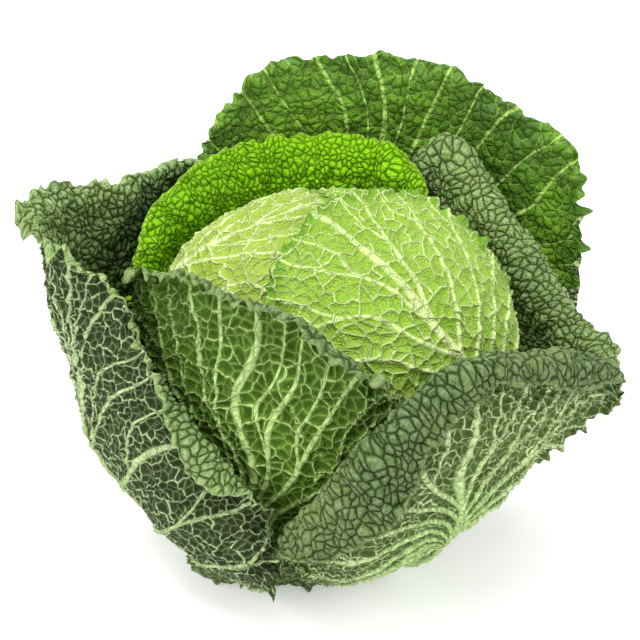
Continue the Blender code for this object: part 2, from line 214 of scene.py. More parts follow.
# What each leaf changes in that, with the spacing of its points and the seed of its waves.
OWN = {
    "wrapper_leaf_left": dict(spacing=1.1, seed=0.0, ruffle=3.2, notch=7.0, over=150, spread=1.25,
                              fan=(0.0, 0.10, 0.10)),
    "wrapper_leaf_right": dict(spacing=1.0, seed=1.0, notch=4.5, ribs=4, over=30, bend=30, spread=1.6,
                               fork=0.42, fan=(0.0, 0.36, -0.05)),
    "wrapper_leaf_back": dict(spacing=1.35, seed=2.0, scale=1.2, ruffle=3.6, notch=8.0, ribs=6, over=170,
                              fan=(0.0, 0.1, 0.05)),
    "inner_leaf_front": dict(spacing=1.15, seed=3.0, scale=1.3, stalk=4.5, ruffle=2.2, ribs=6, over=60,
                             bend=70, spread=1.25, fork=0.55, fan=(-0.05, 0.08, -0.05)),
    "inner_leaf_right": dict(spacing=1.2, seed=4.0, stalk=4.5),
    "inner_leaf_back": dict(spacing=1.15, seed=5.0, scale=0.78, stalk=4.0, ruffle=2.2),
    "wrapper_left_lobe": dict(spacing=0.8, seed=10.0),
    "wrapper_left_tip": dict(spacing=0.8, seed=11.0),
    "wrapper_right_lobe": dict(spacing=0.8, seed=12.0, ruffle=2.2, notch=4.0, ribs=3, spread=1.2, fork=0.60),
    "head_leaf_front": dict(spacing=1.0, seed=6.0, ruffle=1.8, lift=1.8, notch=1.8, ribs=4, over=75, bend=40,
                            fork=0.60, fan=(0.04, 0.44, -0.5)),
    "head_leaf_left": dict(spacing=1.55, seed=7.0),
    "head_leaf_right": dict(spacing=1.9, seed=8.0),
    "head_leaf_back": dict(spacing=2.1, seed=9.0),
}


# ---------------------------------------------------------------- shapes of the leaves


def ease(x):
    """Smooth step: 3 x squared minus 2 x cubed, for x held between 0 and 1."""
    x = np.clip(x, 0.0, 1.0)
    return x * x * (3.0 - 2.0 * x)


def unit(vectors):
    """Vectors divided by their own length."""
    return vectors / np.maximum(np.linalg.norm(vectors, axis=-1, keepdims=True), 1e-9)


def through(table, x):
    """Smooth curve through a table's rows: a cubic Hermite spline whose slopes are weighted means."""
    rows = np.asarray(table, float)
    keys, values = rows[:, 0], rows[:, 1:]
    width = np.diff(keys)[:, None]
    slope = np.diff(values, axis=0) / width
    inner = (slope[:-1] * width[1:] + slope[1:] * width[:-1]) / (width[1:] + width[:-1])
    tangent = np.vstack([slope[:1], inner, slope[-1:]])
    x = np.clip(x, keys[0], keys[-1])
    i = np.clip(np.searchsorted(keys, x, side="right") - 1, 0, len(keys) - 2)
    step = (keys[i + 1] - keys[i])[..., None]
    u = (x - keys[i])[..., None] / step
    start = values[i] * (1 + 2 * u) * (1 - u) ** 2 + tangent[i] * step * u * (1 - u) ** 2
    end = values[i + 1] * u * u * (3 - 2 * u) - tangent[i + 1] * step * u * u * (1 - u)
    return start + end


def blade_point(leaf, f, t):
    """Blade of a loose leaf: a cubic Bezier in radius and height from the stalk to the fold,
    turned about the axis by an azimuth that opens from the stalk's width to the rim's."""
    azimuth, radius, height, belly, belly_height = np.moveaxis(through(leaf["rim"], f), -1, 0)
    low_radius = STALK_START + leaf["low"] * (belly - STALK_START)
    low_height = 0.5 * leaf["tier"]
    s = 1.0 - t
    r = s ** 3 * STALK_START + 3 * s * s * t * low_radius + 3 * s * t * t * belly + t ** 3 * radius
    z = s ** 3 * leaf["tier"] + 3 * s * s * t * low_height + 3 * s * t * t * belly_height + t ** 3 * height
    narrow = leaf["azimuth"] + STALK_SPREAD * f
    angle = np.radians(azimuth + (narrow - azimuth) * (1.0 - ease(t / leaf["grow"])))
    return np.stack([r * np.cos(angle), r * np.sin(angle), z], -1)


def margin_point(leaf, f, u):
    """Rolled margin: an arc of the roll's radius and then a straight flap, in the plane square
    to the fold but for ROLL_SLANT of the blade's own slant."""
    width, radius, turn = np.moveaxis(through(leaf["roll"], f), -1, 0)
    past = u * width
    turn = np.radians(turn)
    step = 1e-3
    top = np.ones_like(f)
    fold = blade_point(leaf, f, top)
    onward = unit(fold - blade_point(leaf, f, top - step))
    after, before = np.minimum(f + step, 1), np.maximum(f - step, -1)
    along = unit(blade_point(leaf, after, top) - blade_point(leaf, before, top))
    away = unit(np.cross(along, onward))
    square = unit(np.cross(away, along))
    onward = unit(square + ROLL_SLANT * (onward - square))
    angle = np.minimum(past / radius, turn)
    straight = np.maximum(past - radius * turn, 0.0)
    forward = radius * np.sin(angle) + straight * np.cos(turn)
    outward = radius * (1 - np.cos(angle)) + straight * np.sin(turn)
    return fold + forward[..., None] * onward + outward[..., None] * away


def loose_point(leaf, f, v):
    """Loose leaf: the blade for v up to 1 and the rolled margin for v from 1 to 2."""
    blade = blade_point(leaf, f, np.clip(v, 0, 1))
    margin = margin_point(leaf, f, np.clip(v - 1, 0, 1))
    return np.where((v <= 1)[..., None], blade, margin)


def swelled(ball):
    """Head's ball lifted to its place, with its left side pushed out by HEAD_SWELL at most: from 0
    at 18 to all of it at 68 left of the axis, and from 0 at 2 below to all of it 32 above its middle."""
    pushed = ball.copy()
    pushed[..., 0] -= HEAD_SWELL * ease((-ball[..., 0] - 18.0) / 50.0) * ease((ball[..., 2] + 2.0) / 34.0)
    pushed[..., 2] += HEAD_CENTRE
    return pushed


def head_point(leaf, f, v):
    """Head leaf: from a foot under the ball, a walk of a given length over the ball in a
    given heading, where the heading fans out across the leaf."""
    radius = HEAD_RADIUS - HEAD_LAYER * leaf["layer"]
    reach = through(leaf["reach"], f)[..., 0]
    r = HEAD_FOOT + v * (reach - HEAD_FOOT)
    left, middle, right = np.moveaxis(through(leaf["lanes"], r), -1, 0)
    heading = np.radians(middle + np.abs(f) * (np.where(f < 0, left, right) - middle))
    tilt, turn = math.radians(HEAD_START), math.radians(leaf["azimuth"])
    foot = np.array([math.sin(tilt) * math.cos(turn), math.sin(tilt) * math.sin(turn), -math.cos(tilt)])
    upward = np.array([math.cos(tilt) * math.cos(turn), math.cos(tilt) * math.sin(turn), math.sin(tilt)])
    sideways = np.array([-math.sin(turn), math.cos(turn), 0.0])
    course = np.cos(heading)[..., None] * upward + np.sin(heading)[..., None] * sideways
    arc = (r / radius)[..., None]
    return swelled(radius * (np.cos(arc) * foot + np.sin(arc) * course))


def lobe_point(rows, f, v):
    """Small lobe: a patch that is quadratic in both directions, steered by three rows of three points."""
    a, b = 0.5 * (f[..., None] + 1), v[..., None]
    across = [(1 - a) ** 2 * p + 2 * a * (1 - a) * q + a * a * r for p, q, r in np.array(rows, float)]
    return (1 - b) ** 2 * across[0] + 2 * b * (1 - b) * across[1] + b * b * across[2]


# ---------------------------------------------------------------- nets and waves


def ripple(x, y, length, seed):
    """Uneven waves from about -1 to 1: the sum, over 3.2, of six plane waves of about that
    length, whose directions and phases go round by the golden angle from the seed."""
    total = np.zeros_like(x)
    for k in range(6):
        turn = GOLDEN_ANGLE * (k + 1) + 1.7 * seed
        size = 2 * math.pi / (length * (0.75 + 0.1 * k))
        total += np.sin(size * (x * math.cos(turn) + y * math.sin(turn)) + 5.1 * turn)
    return total / 3.2


def mixed(words):
    """One number from 0 to 1 for each set of cell numbers: the same lookup hash as Blender's
    Voronoi texture, so that the relief and the shader have the same cells."""
    def turned(x, k):
        """Bits of x, turned k places to the left."""
        return (x << np.uint32(k)) | (x >> np.uint32(32 - k))

    start = np.uint32(0xDEADBEEF + (len(words) << 2) + 13)
    a, b = words[0] + start, words[1] + start
    c = words[2] + start if len(words) > 2 else np.full_like(a, start)
    c = (c ^ b) - turned(b, 14)
    a = (a ^ c) - turned(c, 11)
    b = (b ^ a) - turned(a, 25)
    c = (c ^ b) - turned(b, 16)
    a = (a ^ c) - turned(c, 4)
    b = (b ^ a) - turned(a, 14)
    c = (c ^ b) - turned(b, 24)
    return c / float(2 ** 32 - 1)


def cells_around(x, y, randomness):
    """Points of the nine cells around each place, as arrays with nine rows."""
    home_x, home_y = np.floor(x), np.floor(y)
    points_x, points_y = [], []
    for j in (-1, 0, 1):
        for i in (-1, 0, 1):
            homes = (home_x + i, home_y + j)
            cell = [home.astype(np.float32).view(np.uint32) for home in homes]
            one = np.full_like(cell[0], np.float32(1.0).view(np.uint32))
            points_x.append(home_x + i + mixed(cell) * randomness)
            points_y.append(home_y + j + mixed([*cell, one]) * randomness)
    return np.array(points_x), np.array(points_y)


def edges_around(x, y, randomness):
    """Distance from each place to the lines half way between its nearest cell point and the
    points of the cells around, in cells, with those points and which of them is the nearest."""
    point_x, point_y = cells_around(x, y, randomness)
    across, up = point_x - x, point_y - y
    nearest = np.argmin(across ** 2 + up ** 2, axis=0)[None]
    near_x, near_y = np.take_along_axis(across, nearest, 0), np.take_along_axis(up, nearest, 0)
    gap_x, gap_y = across - near_x, up - near_y
    gap = np.hypot(gap_x, gap_y)
    edge = ((across + near_x) * gap_x + (up + near_y) * gap_y) / (2 * np.maximum(gap, 1e-6))
    return np.where(gap > 0.01, edge, 9.0), point_x, point_y, nearest


def cell_net(x, y, small, large):
    """Net of small random cells, where an edge is strong if the two cells beside it belong to
    different large cells. A small cell belongs to the large cell whose point is nearest to its own.
    Gives the distance to the small cells' edges, how strong the edges near by are (their mean
    with weights that fall off with distance) and the distance to the large cells' edges."""
    edge, point_x, point_y, nearest = edges_around(x / small, y / small, THREAD_RANDOM)
    home_x, home_y = np.empty_like(point_x), np.empty_like(point_y)
    for k in range(len(point_x)):
        own_x, own_y = point_x[k] * small / large, point_y[k] * small / large
        large_x, large_y = cells_around(own_x, own_y, LINK_RANDOM)
        own = np.argmin((large_x - own_x) ** 2 + (large_y - own_y) ** 2, axis=0)[None]
        home_x[k], home_y[k] = (np.take_along_axis(large, own, 0)[0] for large in (large_x, large_y))
    apart = np.hypot(*(home - np.take_along_axis(home, nearest, 0) for home in (home_x, home_y)))
    weight = np.exp(-np.minimum(edge, 8.0) / 0.10)
    strong = (weight * (apart > 1e-3)).sum(0) / weight.sum(0)
    wide = edges_around(x / large, y / large, LINK_RANDOM)[0].min(0)
    return edge.min(0) * small, strong, wide * large


def dome(d, width):
    """Rounded step from 0 at a vein to 1 at a given distance: x times (2 - x)."""
    x = np.clip(d / width, 0, 1)
    return x * (2 - x)


def ridge(d, width):
    """Rounded ridge: half of 1 plus the cosine, out to a given distance."""
    return 0.5 + 0.5 * np.cos(math.pi * np.clip(d / width, 0, 1))


# ---------------------------------------------------------------- sheets and meshes


def laid_flat(grid, flat, rounds):
    """Flat places of a grid of points. In every round each cell of the grid, with its true shape on
    the leaf, is turned to lie best on its flat corners, and each point moves to the mean of the
    places that the cells around it give it. The turn is the angle of the summed cross and dot
    products of the two shapes. OVERSHOOT makes the points settle sooner."""
    corners = [grid[:-1, :-1], grid[:-1, 1:], grid[1:, :-1], grid[1:, 1:]]
    middle = sum(corners) / 4
    onward = unit(corners[2] + corners[3] - corners[0] - corners[1])
    aside = corners[1] + corners[3] - corners[0] - corners[2]
    aside = unit(aside - (aside * onward).sum(-1, keepdims=True) * onward)
    shape = [np.stack([((c - middle) * onward).sum(-1), ((c - middle) * aside).sum(-1)], -1) for c in corners]
    spots = [(slice(0, -1), slice(0, -1)), (slice(0, -1), slice(1, None)),
             (slice(1, None), slice(0, -1)), (slice(1, None), slice(1, None))]
    share = np.zeros((*flat.shape[:2], 1))
    for spot in spots:
        share[spot] += 1
    for _ in range(rounds):
        centre = sum(flat[spot] for spot in spots) / 4
        dot = sum((q * (flat[spot] - centre)).sum(-1) for q, spot in zip(shape, spots))
        cross = sum(q[..., 0] * (flat[spot] - centre)[..., 1] - q[..., 1] * (flat[spot] - centre)[..., 0]
                    for q, spot in zip(shape, spots))
        size = np.maximum(np.hypot(dot, cross), 1e-9)
        cos, sin = dot / size, cross / size
        total = np.zeros_like(flat)
        for q, spot in zip(shape, spots):
            total[spot] += centre + np.stack([cos * q[..., 0] - sin * q[..., 1],
                                              sin * q[..., 0] + cos * q[..., 1]], -1)
        flat = flat + OVERSHOOT * (total / share - flat)
    return flat


def finer(flat):
    """Grid with a new point half way along every edge."""
    tall = np.empty((2 * flat.shape[0] - 1, *flat.shape[1:]))
    tall[::2], tall[1::2] = flat, 0.5 * (flat[1:] + flat[:-1])
    wide = np.empty((tall.shape[0], 2 * tall.shape[1] - 1, 2))
    wide[:, ::2], wide[:, 1::2] = tall, 0.5 * (tall[:, 1:] + tall[:, :-1])
    return wide


def survey(surface, last):
    """Even table of a leaf over share across f and share of length w.

    Gives the surface's own parameter v, the width of the leaf per unit of f, the leaf's
    length and the place of the point when the leaf is laid flat. The flat leaf starts as
    arcs about its foot and is settled on every 8th point, then every 4th and every 2nd.
    """
    f = np.linspace(-1, 1, SURVEY_ACROSS)
    v = np.linspace(0, last, 401)
    points = surface(*np.meshgrid(f, v))
    steps = np.linalg.norm(np.diff(points, axis=0), axis=-1)
    length = np.vstack([np.zeros((1, f.size)), np.cumsum(steps, axis=0)])
    w = np.linspace(0, 1, SURVEY_ALONG)
    v_table = np.stack([np.interp(w * length[-1, i], length[:, i], v) for i in range(f.size)], -1)
    grid = surface(np.broadcast_to(f, v_table.shape), v_table)
    onward = unit(np.gradient(grid, axis=0))
    across = np.gradient(grid, f, axis=1)
    across = across - (across * onward).sum(-1, keepdims=True) * onward
    width = np.linalg.norm(across, axis=-1)
    reach = np.broadcast_to(length[-1], width.shape)
    arm = w[:, None] * reach + FOOT_ARM
    turn = width / arm
    swept = np.cumsum(0.5 * (turn[:, 1:] + turn[:, :-1]) * (f[1] - f[0]), axis=1)
    swept = np.hstack([np.zeros((w.size, 1)), swept])
    swept = swept - swept[:, [f.size // 2]]
    flat = np.stack([arm * np.cos(swept), arm * np.sin(swept)], -1)[::8, ::8]
    for step in (8, 4, 2):
        flat = finer(laid_flat(grid[::step, ::step], flat, ROUNDS))
    return np.stack([v_table, width, reach, flat[..., 0], flat[..., 1]], -1)


def look_up(table, f, w):
    """Values of a survey table at f and w, by straight interpolation in both directions."""
    rows, columns = table.shape[:2]
    x = np.clip((f + 1) / 2, 0, 1) * (columns - 1)
    y = np.clip(w, 0, 1) * (rows - 1)
    i = np.minimum(x.astype(int), columns - 2)
    j = np.minimum(y.astype(int), rows - 2)
    x, y = (x - i)[..., None], (y - j)[..., None]
    low = table[j, i] * (1 - x) + table[j, i + 1] * x
    high = table[j + 1, i] * (1 - x) + table[j + 1, i + 1] * x
    return low * (1 - y) + high * y


def lay_out(table, spacing):
    """Rows of points a given spacing apart, with as many points in a row as its length needs,
    and the triangles that join each row to the next, as arrays."""
    f = np.linspace(-1, 1, table.shape[1])
    rows = int(round(table[0, :, 2].mean() / spacing))
    shares = np.linspace(0, 1, rows + 1)
    row_f = []
    for w in shares:
        width = look_up(table, f, np.full_like(f, w))[:, 1]
        run = np.concatenate([[0], np.cumsum(0.5 * (width[1:] + width[:-1]))])
        count = max(12, int(math.ceil(run[-1] * (f[1] - f[0]) / spacing)))
        row_f.append(np.interp(np.linspace(0, run[-1], count + 1), run, f))
    counts = np.array([r.size for r in row_f])
    starts = np.concatenate([[0], np.cumsum(counts)])
    triangles = []
    for j in range(rows):
        low, high = row_f[j], row_f[j + 1]
        low_mid, high_mid = 0.5 * (low[1:] + low[:-1]), 0.5 * (high[1:] + high[:-1])
        a = starts[j] + np.arange(low.size - 1)
        b = starts[j + 1] + np.arange(high.size - 1)
        over = starts[j + 1] + np.searchsorted(high_mid, low_mid)
        under = starts[j] + np.searchsorted(low_mid, high_mid, side="right")
        triangles.append(np.stack([a, a + 1, over], -1))
        triangles.append(np.stack([under, b + 1, b], -1))
    first, last = starts[:-1], starts[1:] - 1
    loop = np.concatenate([
        np.arange(first[0], last[0]), last[:-1], np.arange(last[-1], first[-1], -1), first[:0:-1]])
    return np.concatenate(row_f), np.repeat(shares, counts), np.concatenate(triangles), loop


def facing(surface, f, v, last):
    """Normals that face away from the head: the cross product of the steps across and along."""
    step = 2e-3
    right, left = np.minimum(f + step, 1), np.maximum(f - step, -1)
    above, below = np.minimum(v + step, last), np.maximum(v - step, 0)
    across = surface(right, v) - surface(left, v)
    along = surface(f, above) - surface(f, below)
    return unit(np.cross(across, along))


def rib_lines(flat_x, flat_y, table, looks):
    """Main veins, as fields that are smooth over the leaf.

    The ribs fan out from a point of the leaf's midrib. With c from 0 at the outermost rib to
    1 at the midrib, a rib leaves the midrib after c times "over" and its angle, as a share of
    "spread" in radians, is 1.05 (1 - c) (1 - exp(-(length - that) / "bend")). c is found by halving.
    The fields are the rib's number, which is whole on a rib, the distance between two ribs
    there, how far each rib's fork has moved off it, the distance to the midrib and the share
    of the leaf's length past the fan's point, from "fork" of which on the ribs are forked.
    """
    f_start, w_start, f_end = looks["fan"]
    spots = look_up(table, np.array([0.0, f_start, f_end]), np.array([0.0, w_start, 0.95]))
    stalk, centre, tip = spots[:, 3:]
    heading = unit(tip - centre)
    x, y = flat_x - centre[0], flat_y - centre[1]
    forward, aside = x * heading[0] + y * heading[1], y * heading[0] - x * heading[1]
    forward = forward + 5.0 * ripple(flat_x, flat_y, 75.0, looks["seed"])
    forward = forward + 0.3 * ripple(flat_x, flat_y, 14.0, 3.0)
    aside = aside + 4.0 * ripple(flat_x, flat_y, 60.0, looks["seed"] + 9) * ease(np.hypot(x, y) / 60)
    aside = aside + 0.3 * ripple(flat_x, flat_y, 14.0, 8.0)
    length = np.hypot(forward, aside)
    angle = np.abs(np.arctan2(aside, forward))
    share = angle / looks["spread"]
    low, high = np.full_like(share, -1.45), np.ones_like(share)
    for _ in range(22):
        c = 0.5 * (low + high)
        gone = np.maximum(length - c * looks["over"], 0.0)
        wider = 1.05 * (1 - c) * (1 - np.exp(-gone / looks["bend"])) > share
        low, high = np.where(wider, c, low), np.where(wider, high, c)

    # The gap is one over the slope of the number, from the slopes of the angle by c and by length.
    left = np.exp(-np.maximum(length - c * looks["over"], 0.0) / looks["bend"])
    by_c = -1.05 * (1 - left) - 1.05 * (1 - c) * left * looks["over"] / looks["bend"]
    by_length = 1.05 * (1 - c) * left / looks["bend"]
    slope = np.hypot(1 / (by_c * looks["spread"] * np.maximum(length, 4.0)), by_length / by_c)
    gap = 1 / (looks["ribs"] * np.maximum(slope, 1e-5))
    past = np.clip(length / (table[0, :, 2].mean() * (1.02 - w_start)), 0, 1)
    fork = 0.42 * ease((past - looks["fork"]) / 0.16)
    run = centre - stalk
    t = np.clip(((flat_x - stalk[0]) * run[0] + (flat_y - stalk[1]) * run[1]) / (run @ run + 1e-9), 0, 1)
    behind = np.hypot(flat_x - stalk[0] - t * run[0], flat_y - stalk[1] - t * run[1])
    middle = np.minimum(behind, np.where(forward > 0, np.abs(aside), length))
    return looks["ribs"] * c, gap, fork, middle, past


def near_line(number, gap):
    """Distance to the nearest whole number, times the gap between two of them."""
    return np.abs(number - np.round(number)) * gap


def notches(s, looks):
    """Depth of the cuts along a margin: the squares of wide waves, with scallops and teeth on them."""
    lobes, scallops, teeth = (0.5 + 0.5 * ripple(s, 0 * s, length, looks["seed"] + later)
                              for length, later in ((30.0, 0), (13.0, 7), (5.5, 3)))
    return looks["notch"] * (0.55 * lobes ** 2 + 0.30 * scallops + 0.15 * teeth)


def relief(looks, w, edge, flat_x, flat_y, net_x, net_y, veins):
    """Heights of the sheet's inner and outer side along the normal, which points away from the
    head: fields are puffed towards the head, veins stand up on the outer side, and waves that
    fade away from the edge ruffle the margin."""
    number, gap, fork, middle, past = veins
    taper = np.minimum(RIB_END + RIB_GAIN * (1 - past) ** 2, RIB_FINEST + RIB_PER_GAP * gap)
    rib = np.minimum(near_line(number, gap), near_line(number - fork, gap) * FORK_SLIM)
    rib = np.minimum(rib, middle / MIDRIB_BROAD)
    thread, strong, link = cell_net(net_x, net_y, looks["thread"], looks["link"])
    at_ribs, at_links, at_threads = looks["puff"]
    bulge = at_links * ease(link / (0.45 * looks["link"]))
    between_threads = dome(thread, FLANK * looks["thread"])
    bulge = bulge + at_threads * (1 - (1 - between_threads) * (0.5 + 0.5 * strong))
    calm = looks["calm"] + (1 - looks["calm"]) * ease((past - 0.35) / 0.35)
    bulge = at_ribs * dome(rib, 7.0) + bulge * calm
    high_rib, high_link, high_thread = looks["ridge"]
    raised = high_rib * np.maximum(taper, 0.6) * ridge(rib, 1.7 * taper)
    raised = np.maximum(raised, high_link * strong * ridge(thread, 1.0))
    raised = np.maximum(raised, high_thread * ridge(thread, 0.8))
    stalk = (looks["stalk"] - looks["flesh"]) * np.exp(-(middle / 6.0) ** 2) * (1 - ease((w - 0.05) / 0.7))
    seed = looks["seed"]
    frill = 0.7 * np.exp(-edge / 12.0) * ripple(flat_x, flat_y, 17.0, seed + 4)
    frill = frill + 1.1 * np.exp(-edge / 4.5) * ripple(flat_x, flat_y, 7.0, seed + 5)
    grown = ease(w / 0.10)
    wave = (looks["ruffle"] * frill + looks["sway"] * ripple(flat_x, flat_y, 60.0, seed + 6)) * grown
    wave = wave + looks["lift"] * np.exp(-edge / 6.0) * ease((w - 0.5) / 0.2)
    tips = 1 - 0.8 * np.exp(-edge / 2.0)
    inner = wave - bulge * grown * tips
    outer = inner + looks["flesh"] * (0.4 + 0.6 * tips) + raised * grown * tips + stalk
    return inner, outer


def leaf_sheet(name, surface, last, looks):
    """Closed sheet of one leaf in metres, with its triangles, flat coordinates and vein fields."""
    table = survey(surface, last)
    f, w, triangles, loop = lay_out(table, looks["spacing"])
    _, width, reach, _, _ = np.moveaxis(look_up(table, f, w), -1, 0)

    # Cut margin: the sheet is drawn in along its end and its sides. The notches of the end go by
    # the place across it and those of the sides by the length along them.
    w_in = w * (1 - w ** 10 * notches(f * 130.0, looks) / reach)
    draw = np.minimum(notches(w * reach + 400.0 * np.sign(f), looks) / np.maximum(width, 1.0), 0.12)
    f_in = f * (1 - np.abs(f) ** 10 * draw)
    v, width, reach, flat_x, flat_y = np.moveaxis(look_up(table, f_in, w_in), -1, 0)
    points = surface(f_in, v)
    away = facing(surface, f_in, v, last)

    # Net of veins on the leaf laid flat, in a part of the net that is the leaf's own.
    seed = looks["seed"]
    edge = np.minimum((1 - w) * reach, (1 - np.abs(f)) * np.maximum(width, 4.0))
    net_x = flat_x + 1.5 * ripple(flat_x, flat_y, 20.0, seed + 1) + NET_STEP * (seed + 1)
    net_y = flat_y + 1.5 * ripple(flat_x, flat_y, 20.0, seed + 2) + NET_RISE
    veins = rib_lines(flat_x, flat_y, table, looks)
    inner, outer = relief(looks, w, edge, flat_x, flat_y, net_x, net_y, veins)
    both = np.concatenate([points + side[:, None] * away for side in (inner, outer)])
    both[:, 2] = np.maximum(both[:, 2], FLOOR_GAP)

    count = f.size
    after = np.roll(loop, -1)
    wall = np.concatenate([
        np.stack([loop, after, after + count], -1), np.stack([loop, after + count, loop + count], -1)])
    faces = np.concatenate([triangles + count, triangles[:, ::-1], wall])
    sides = np.repeat([0, 1], [len(triangles), len(triangles) + len(wall)])
    number, gap, fork, middle, past = veins
    flat, ribs, place = (np.tile(np.stack(parts, -1), (2, 1)) for parts in (
        (net_x, net_y), (number, gap, fork), (middle, past, edge)))
    return put_mesh(name, both, faces, sides, flat, ribs, place)


def heart_ball():
    """Closed ball of the heart: a grid over longitude and height with a pole at each end, whose
    radius has the heart's own puffs and the head's swell."""
    turns, rows = 180, 90
    rise = np.linspace(-1, 1, rows + 1)[1:-1] * math.pi / 2
    angle, rise = (part.ravel() for part in np.meshgrid(np.arange(turns) * 2 * math.pi / turns, rise))
    radius = HEART_RADIUS - 1.5
    net_x = np.append((angle - math.pi) * np.cos(rise) * radius, [0.0, 0.0]) + NET_STEP * 13
    net_y = np.append(rise * radius, [-90.0, 90.0]) + NET_RISE
    thread, strong, _ = cell_net(net_x, net_y, *reversed(net_cells("heart")))
    out = radius + 0.6 * dome(thread, 2.2) + 0.5 * strong * ridge(thread, 1.2)
    way = np.stack([np.cos(rise) * np.cos(angle), np.cos(rise) * np.sin(angle), np.sin(rise)], -1)
    way = np.concatenate([way, [[0, 0, -1.0], [0, 0, 1.0]]])
    here = np.arange(turns * (rows - 2)).reshape(rows - 2, turns)
    beside = np.roll(here, -1, axis=1)
    first, last = np.arange(turns), turns * (rows - 2) + np.arange(turns)
    low, high = turns * (rows - 1), turns * (rows - 1) + 1
    faces = np.concatenate([
        np.stack([here, beside, beside + turns], -1).reshape(-1, 3),
        np.stack([here, beside + turns, here + turns], -1).reshape(-1, 3),
        np.stack([np.roll(first, -1), first, np.full(turns, low)], -1),
        np.stack([last, np.roll(last, -1), np.full(turns, high)], -1)])
    far = np.full(len(way), 60.0)
    return put_mesh(
        "heart_ball", swelled(way * out[:, None]), faces, np.zeros(len(faces)), np.stack([net_x, net_y], -1),
        np.stack([0 * far + 0.5, far, 0 * far], -1), np.stack([far, 0 * far + 0.7, far], -1))


def put_mesh(name, points, faces, sides, flat, ribs, place):
    """Mesh object from arrays of points in millimetres and of triangles, with each triangle's
    material, its flat map and its vein fields."""
    mesh = bpy.data.meshes.new(name)
    mesh.vertices.add(len(points))
    mesh.vertices.foreach_set("co", (points * MM).astype(np.float32).ravel())
    mesh.loops.add(faces.size)
    mesh.loops.foreach_set("vertex_index", faces.astype(np.int32).ravel())
    mesh.polygons.add(len(faces))
    mesh.polygons.foreach_set("loop_start", np.arange(0, faces.size, 3, dtype=np.int32))
    mesh.polygons.foreach_set("material_index", sides.astype(np.int32))
    mesh.update(calc_edges=True)
    mesh.shade_smooth()
    layer = mesh.uv_layers.new(name="flat")
    layer.data.foreach_set("uv", (flat * MM)[faces.ravel()].astype(np.float32).ravel())
    for key, vectors in (("ribs", ribs), ("place", place)):
        attribute = mesh.attributes.new(key, "FLOAT_VECTOR", "POINT")
        attribute.data.foreach_set("vector", vectors.astype(np.float32).ravel())
    return add_object(name, mesh)


def add_object(name, data):
    """New object in the scene."""
    made = bpy.data.objects.new(name, data)
    bpy.context.scene.collection.objects.link(made)
    return made


# ---------------------------------------------------------------- materials


def put(tree, kind, *inputs, **settings):
    """Adds a node with its settings; each input is linked if it is a socket, or set if it is a value."""
    node = tree.nodes.new(kind)
    for key, value in settings.items():
        setattr(node, key, value)
    for socket, value in zip(node.inputs, inputs):
        feed(tree, socket, value)
    return node


def feed(tree, socket, value):
    """Links an input to another socket, or sets it to a value; None leaves it as it is."""
    if isinstance(value, bpy.types.NodeSocket):
        tree.links.new(value, socket)
    elif value is not None:
        socket.default_value = value


def dress(tree, sockets, values):
    """Links or sets each of these inputs by its name."""
    for label, value in values.items():
        feed(tree, sockets[label], value)


def maths(tree, operation, *inputs):
    """Result of one Math node."""
    return put(tree, "ShaderNodeMath", *inputs, operation=operation).outputs[0]


def times(tree, first, second):
    """First value times the second."""
    return maths(tree, "MULTIPLY", first, second)


def between(tree, value, low, high, to_low=0.0, to_high=1.0):
    """Smooth ramp of a value between two others."""
    return put(tree, "ShaderNodeMapRange", value, low, high, to_low, to_high,
               interpolation_type="SMOOTHSTEP").outputs[0]


def blended(tree, factor, first, second):
    """Colour mix."""
    node = put(tree, "ShaderNodeMix", data_type="RGBA", blend_type="MIX")
    for socket, value in ((node.inputs[0], factor), (node.inputs[6], first), (node.inputs[7], second)):
        feed(tree, socket, value)
    return node.outputs[2]


def grained(tree, vector, scale, detail):
    """Noise from 0 to 1."""
    return put(tree, "ShaderNodeTexNoise", vector, None, scale, detail).outputs["Fac"]


def split(tree, vector):
    """Three parts of a vector."""
    return put(tree, "ShaderNodeSeparateXYZ", vector).outputs


def new_material(name):
    """New material, with its tree, its Principled shader and the Object coordinates."""
    material = bpy.data.materials.new(name)
    material.use_nodes = True
    tree = material.node_tree
    spot = put(tree, "ShaderNodeTexCoord").outputs["Object"]
    return material, tree, tree.nodes["Principled BSDF"].inputs, spot


def bumped(tree, height, strength, distance):
    """Normal that is tilted by a height."""
    bump = put(tree, "ShaderNodeBump")
    dress(tree, bump.inputs, {"Strength": strength, "Distance": distance, "Height": height})
    return bump.outputs[0]


def cells(tree, vector, size, randomness, feature, output):
    """Random flat cells of a size in millimetres."""
    node = put(tree, "ShaderNodeTexVoronoi", voronoi_dimensions="2D", feature=feature)
    scale = maths(tree, "DIVIDE", 1 / MM, size)
    dress(tree, node.inputs, {"Vector": vector, "Scale": scale, "Randomness": randomness})
    return node.outputs[output]


def rib_mask(tree, ribs, place, width):
    """Mask of the ribs from a leaf's vein fields, with the same widths as in relief()."""
    number, gap, fork = ribs
    middle, past, _ = place

    def near(count):
        """Distance to the nearest rib, as in near_line()."""
        apart = maths(tree, "SUBTRACT", count, maths(tree, "ROUND", count))
        return times(tree, maths(tree, "ABSOLUTE", apart), gap)

    forked = times(tree, near(maths(tree, "SUBTRACT", number, fork)), FORK_SLIM)
    rib = maths(tree, "MINIMUM", near(number), forked)
    rib = maths(tree, "MINIMUM", rib, maths(tree, "DIVIDE", middle, MIDRIB_BROAD))
    left = maths(tree, "SUBTRACT", 1.0, past)
    taper = maths(tree, "MULTIPLY_ADD", times(tree, left, left), RIB_GAIN, RIB_END)
    taper = maths(tree, "MINIMUM", taper, maths(tree, "MULTIPLY_ADD", gap, RIB_PER_GAP, RIB_FINEST))
    rib = maths(tree, "DIVIDE", rib, times(tree, taper, width))
    return between(tree, rib, 0.55, 1.25, 1.0, 0.0)


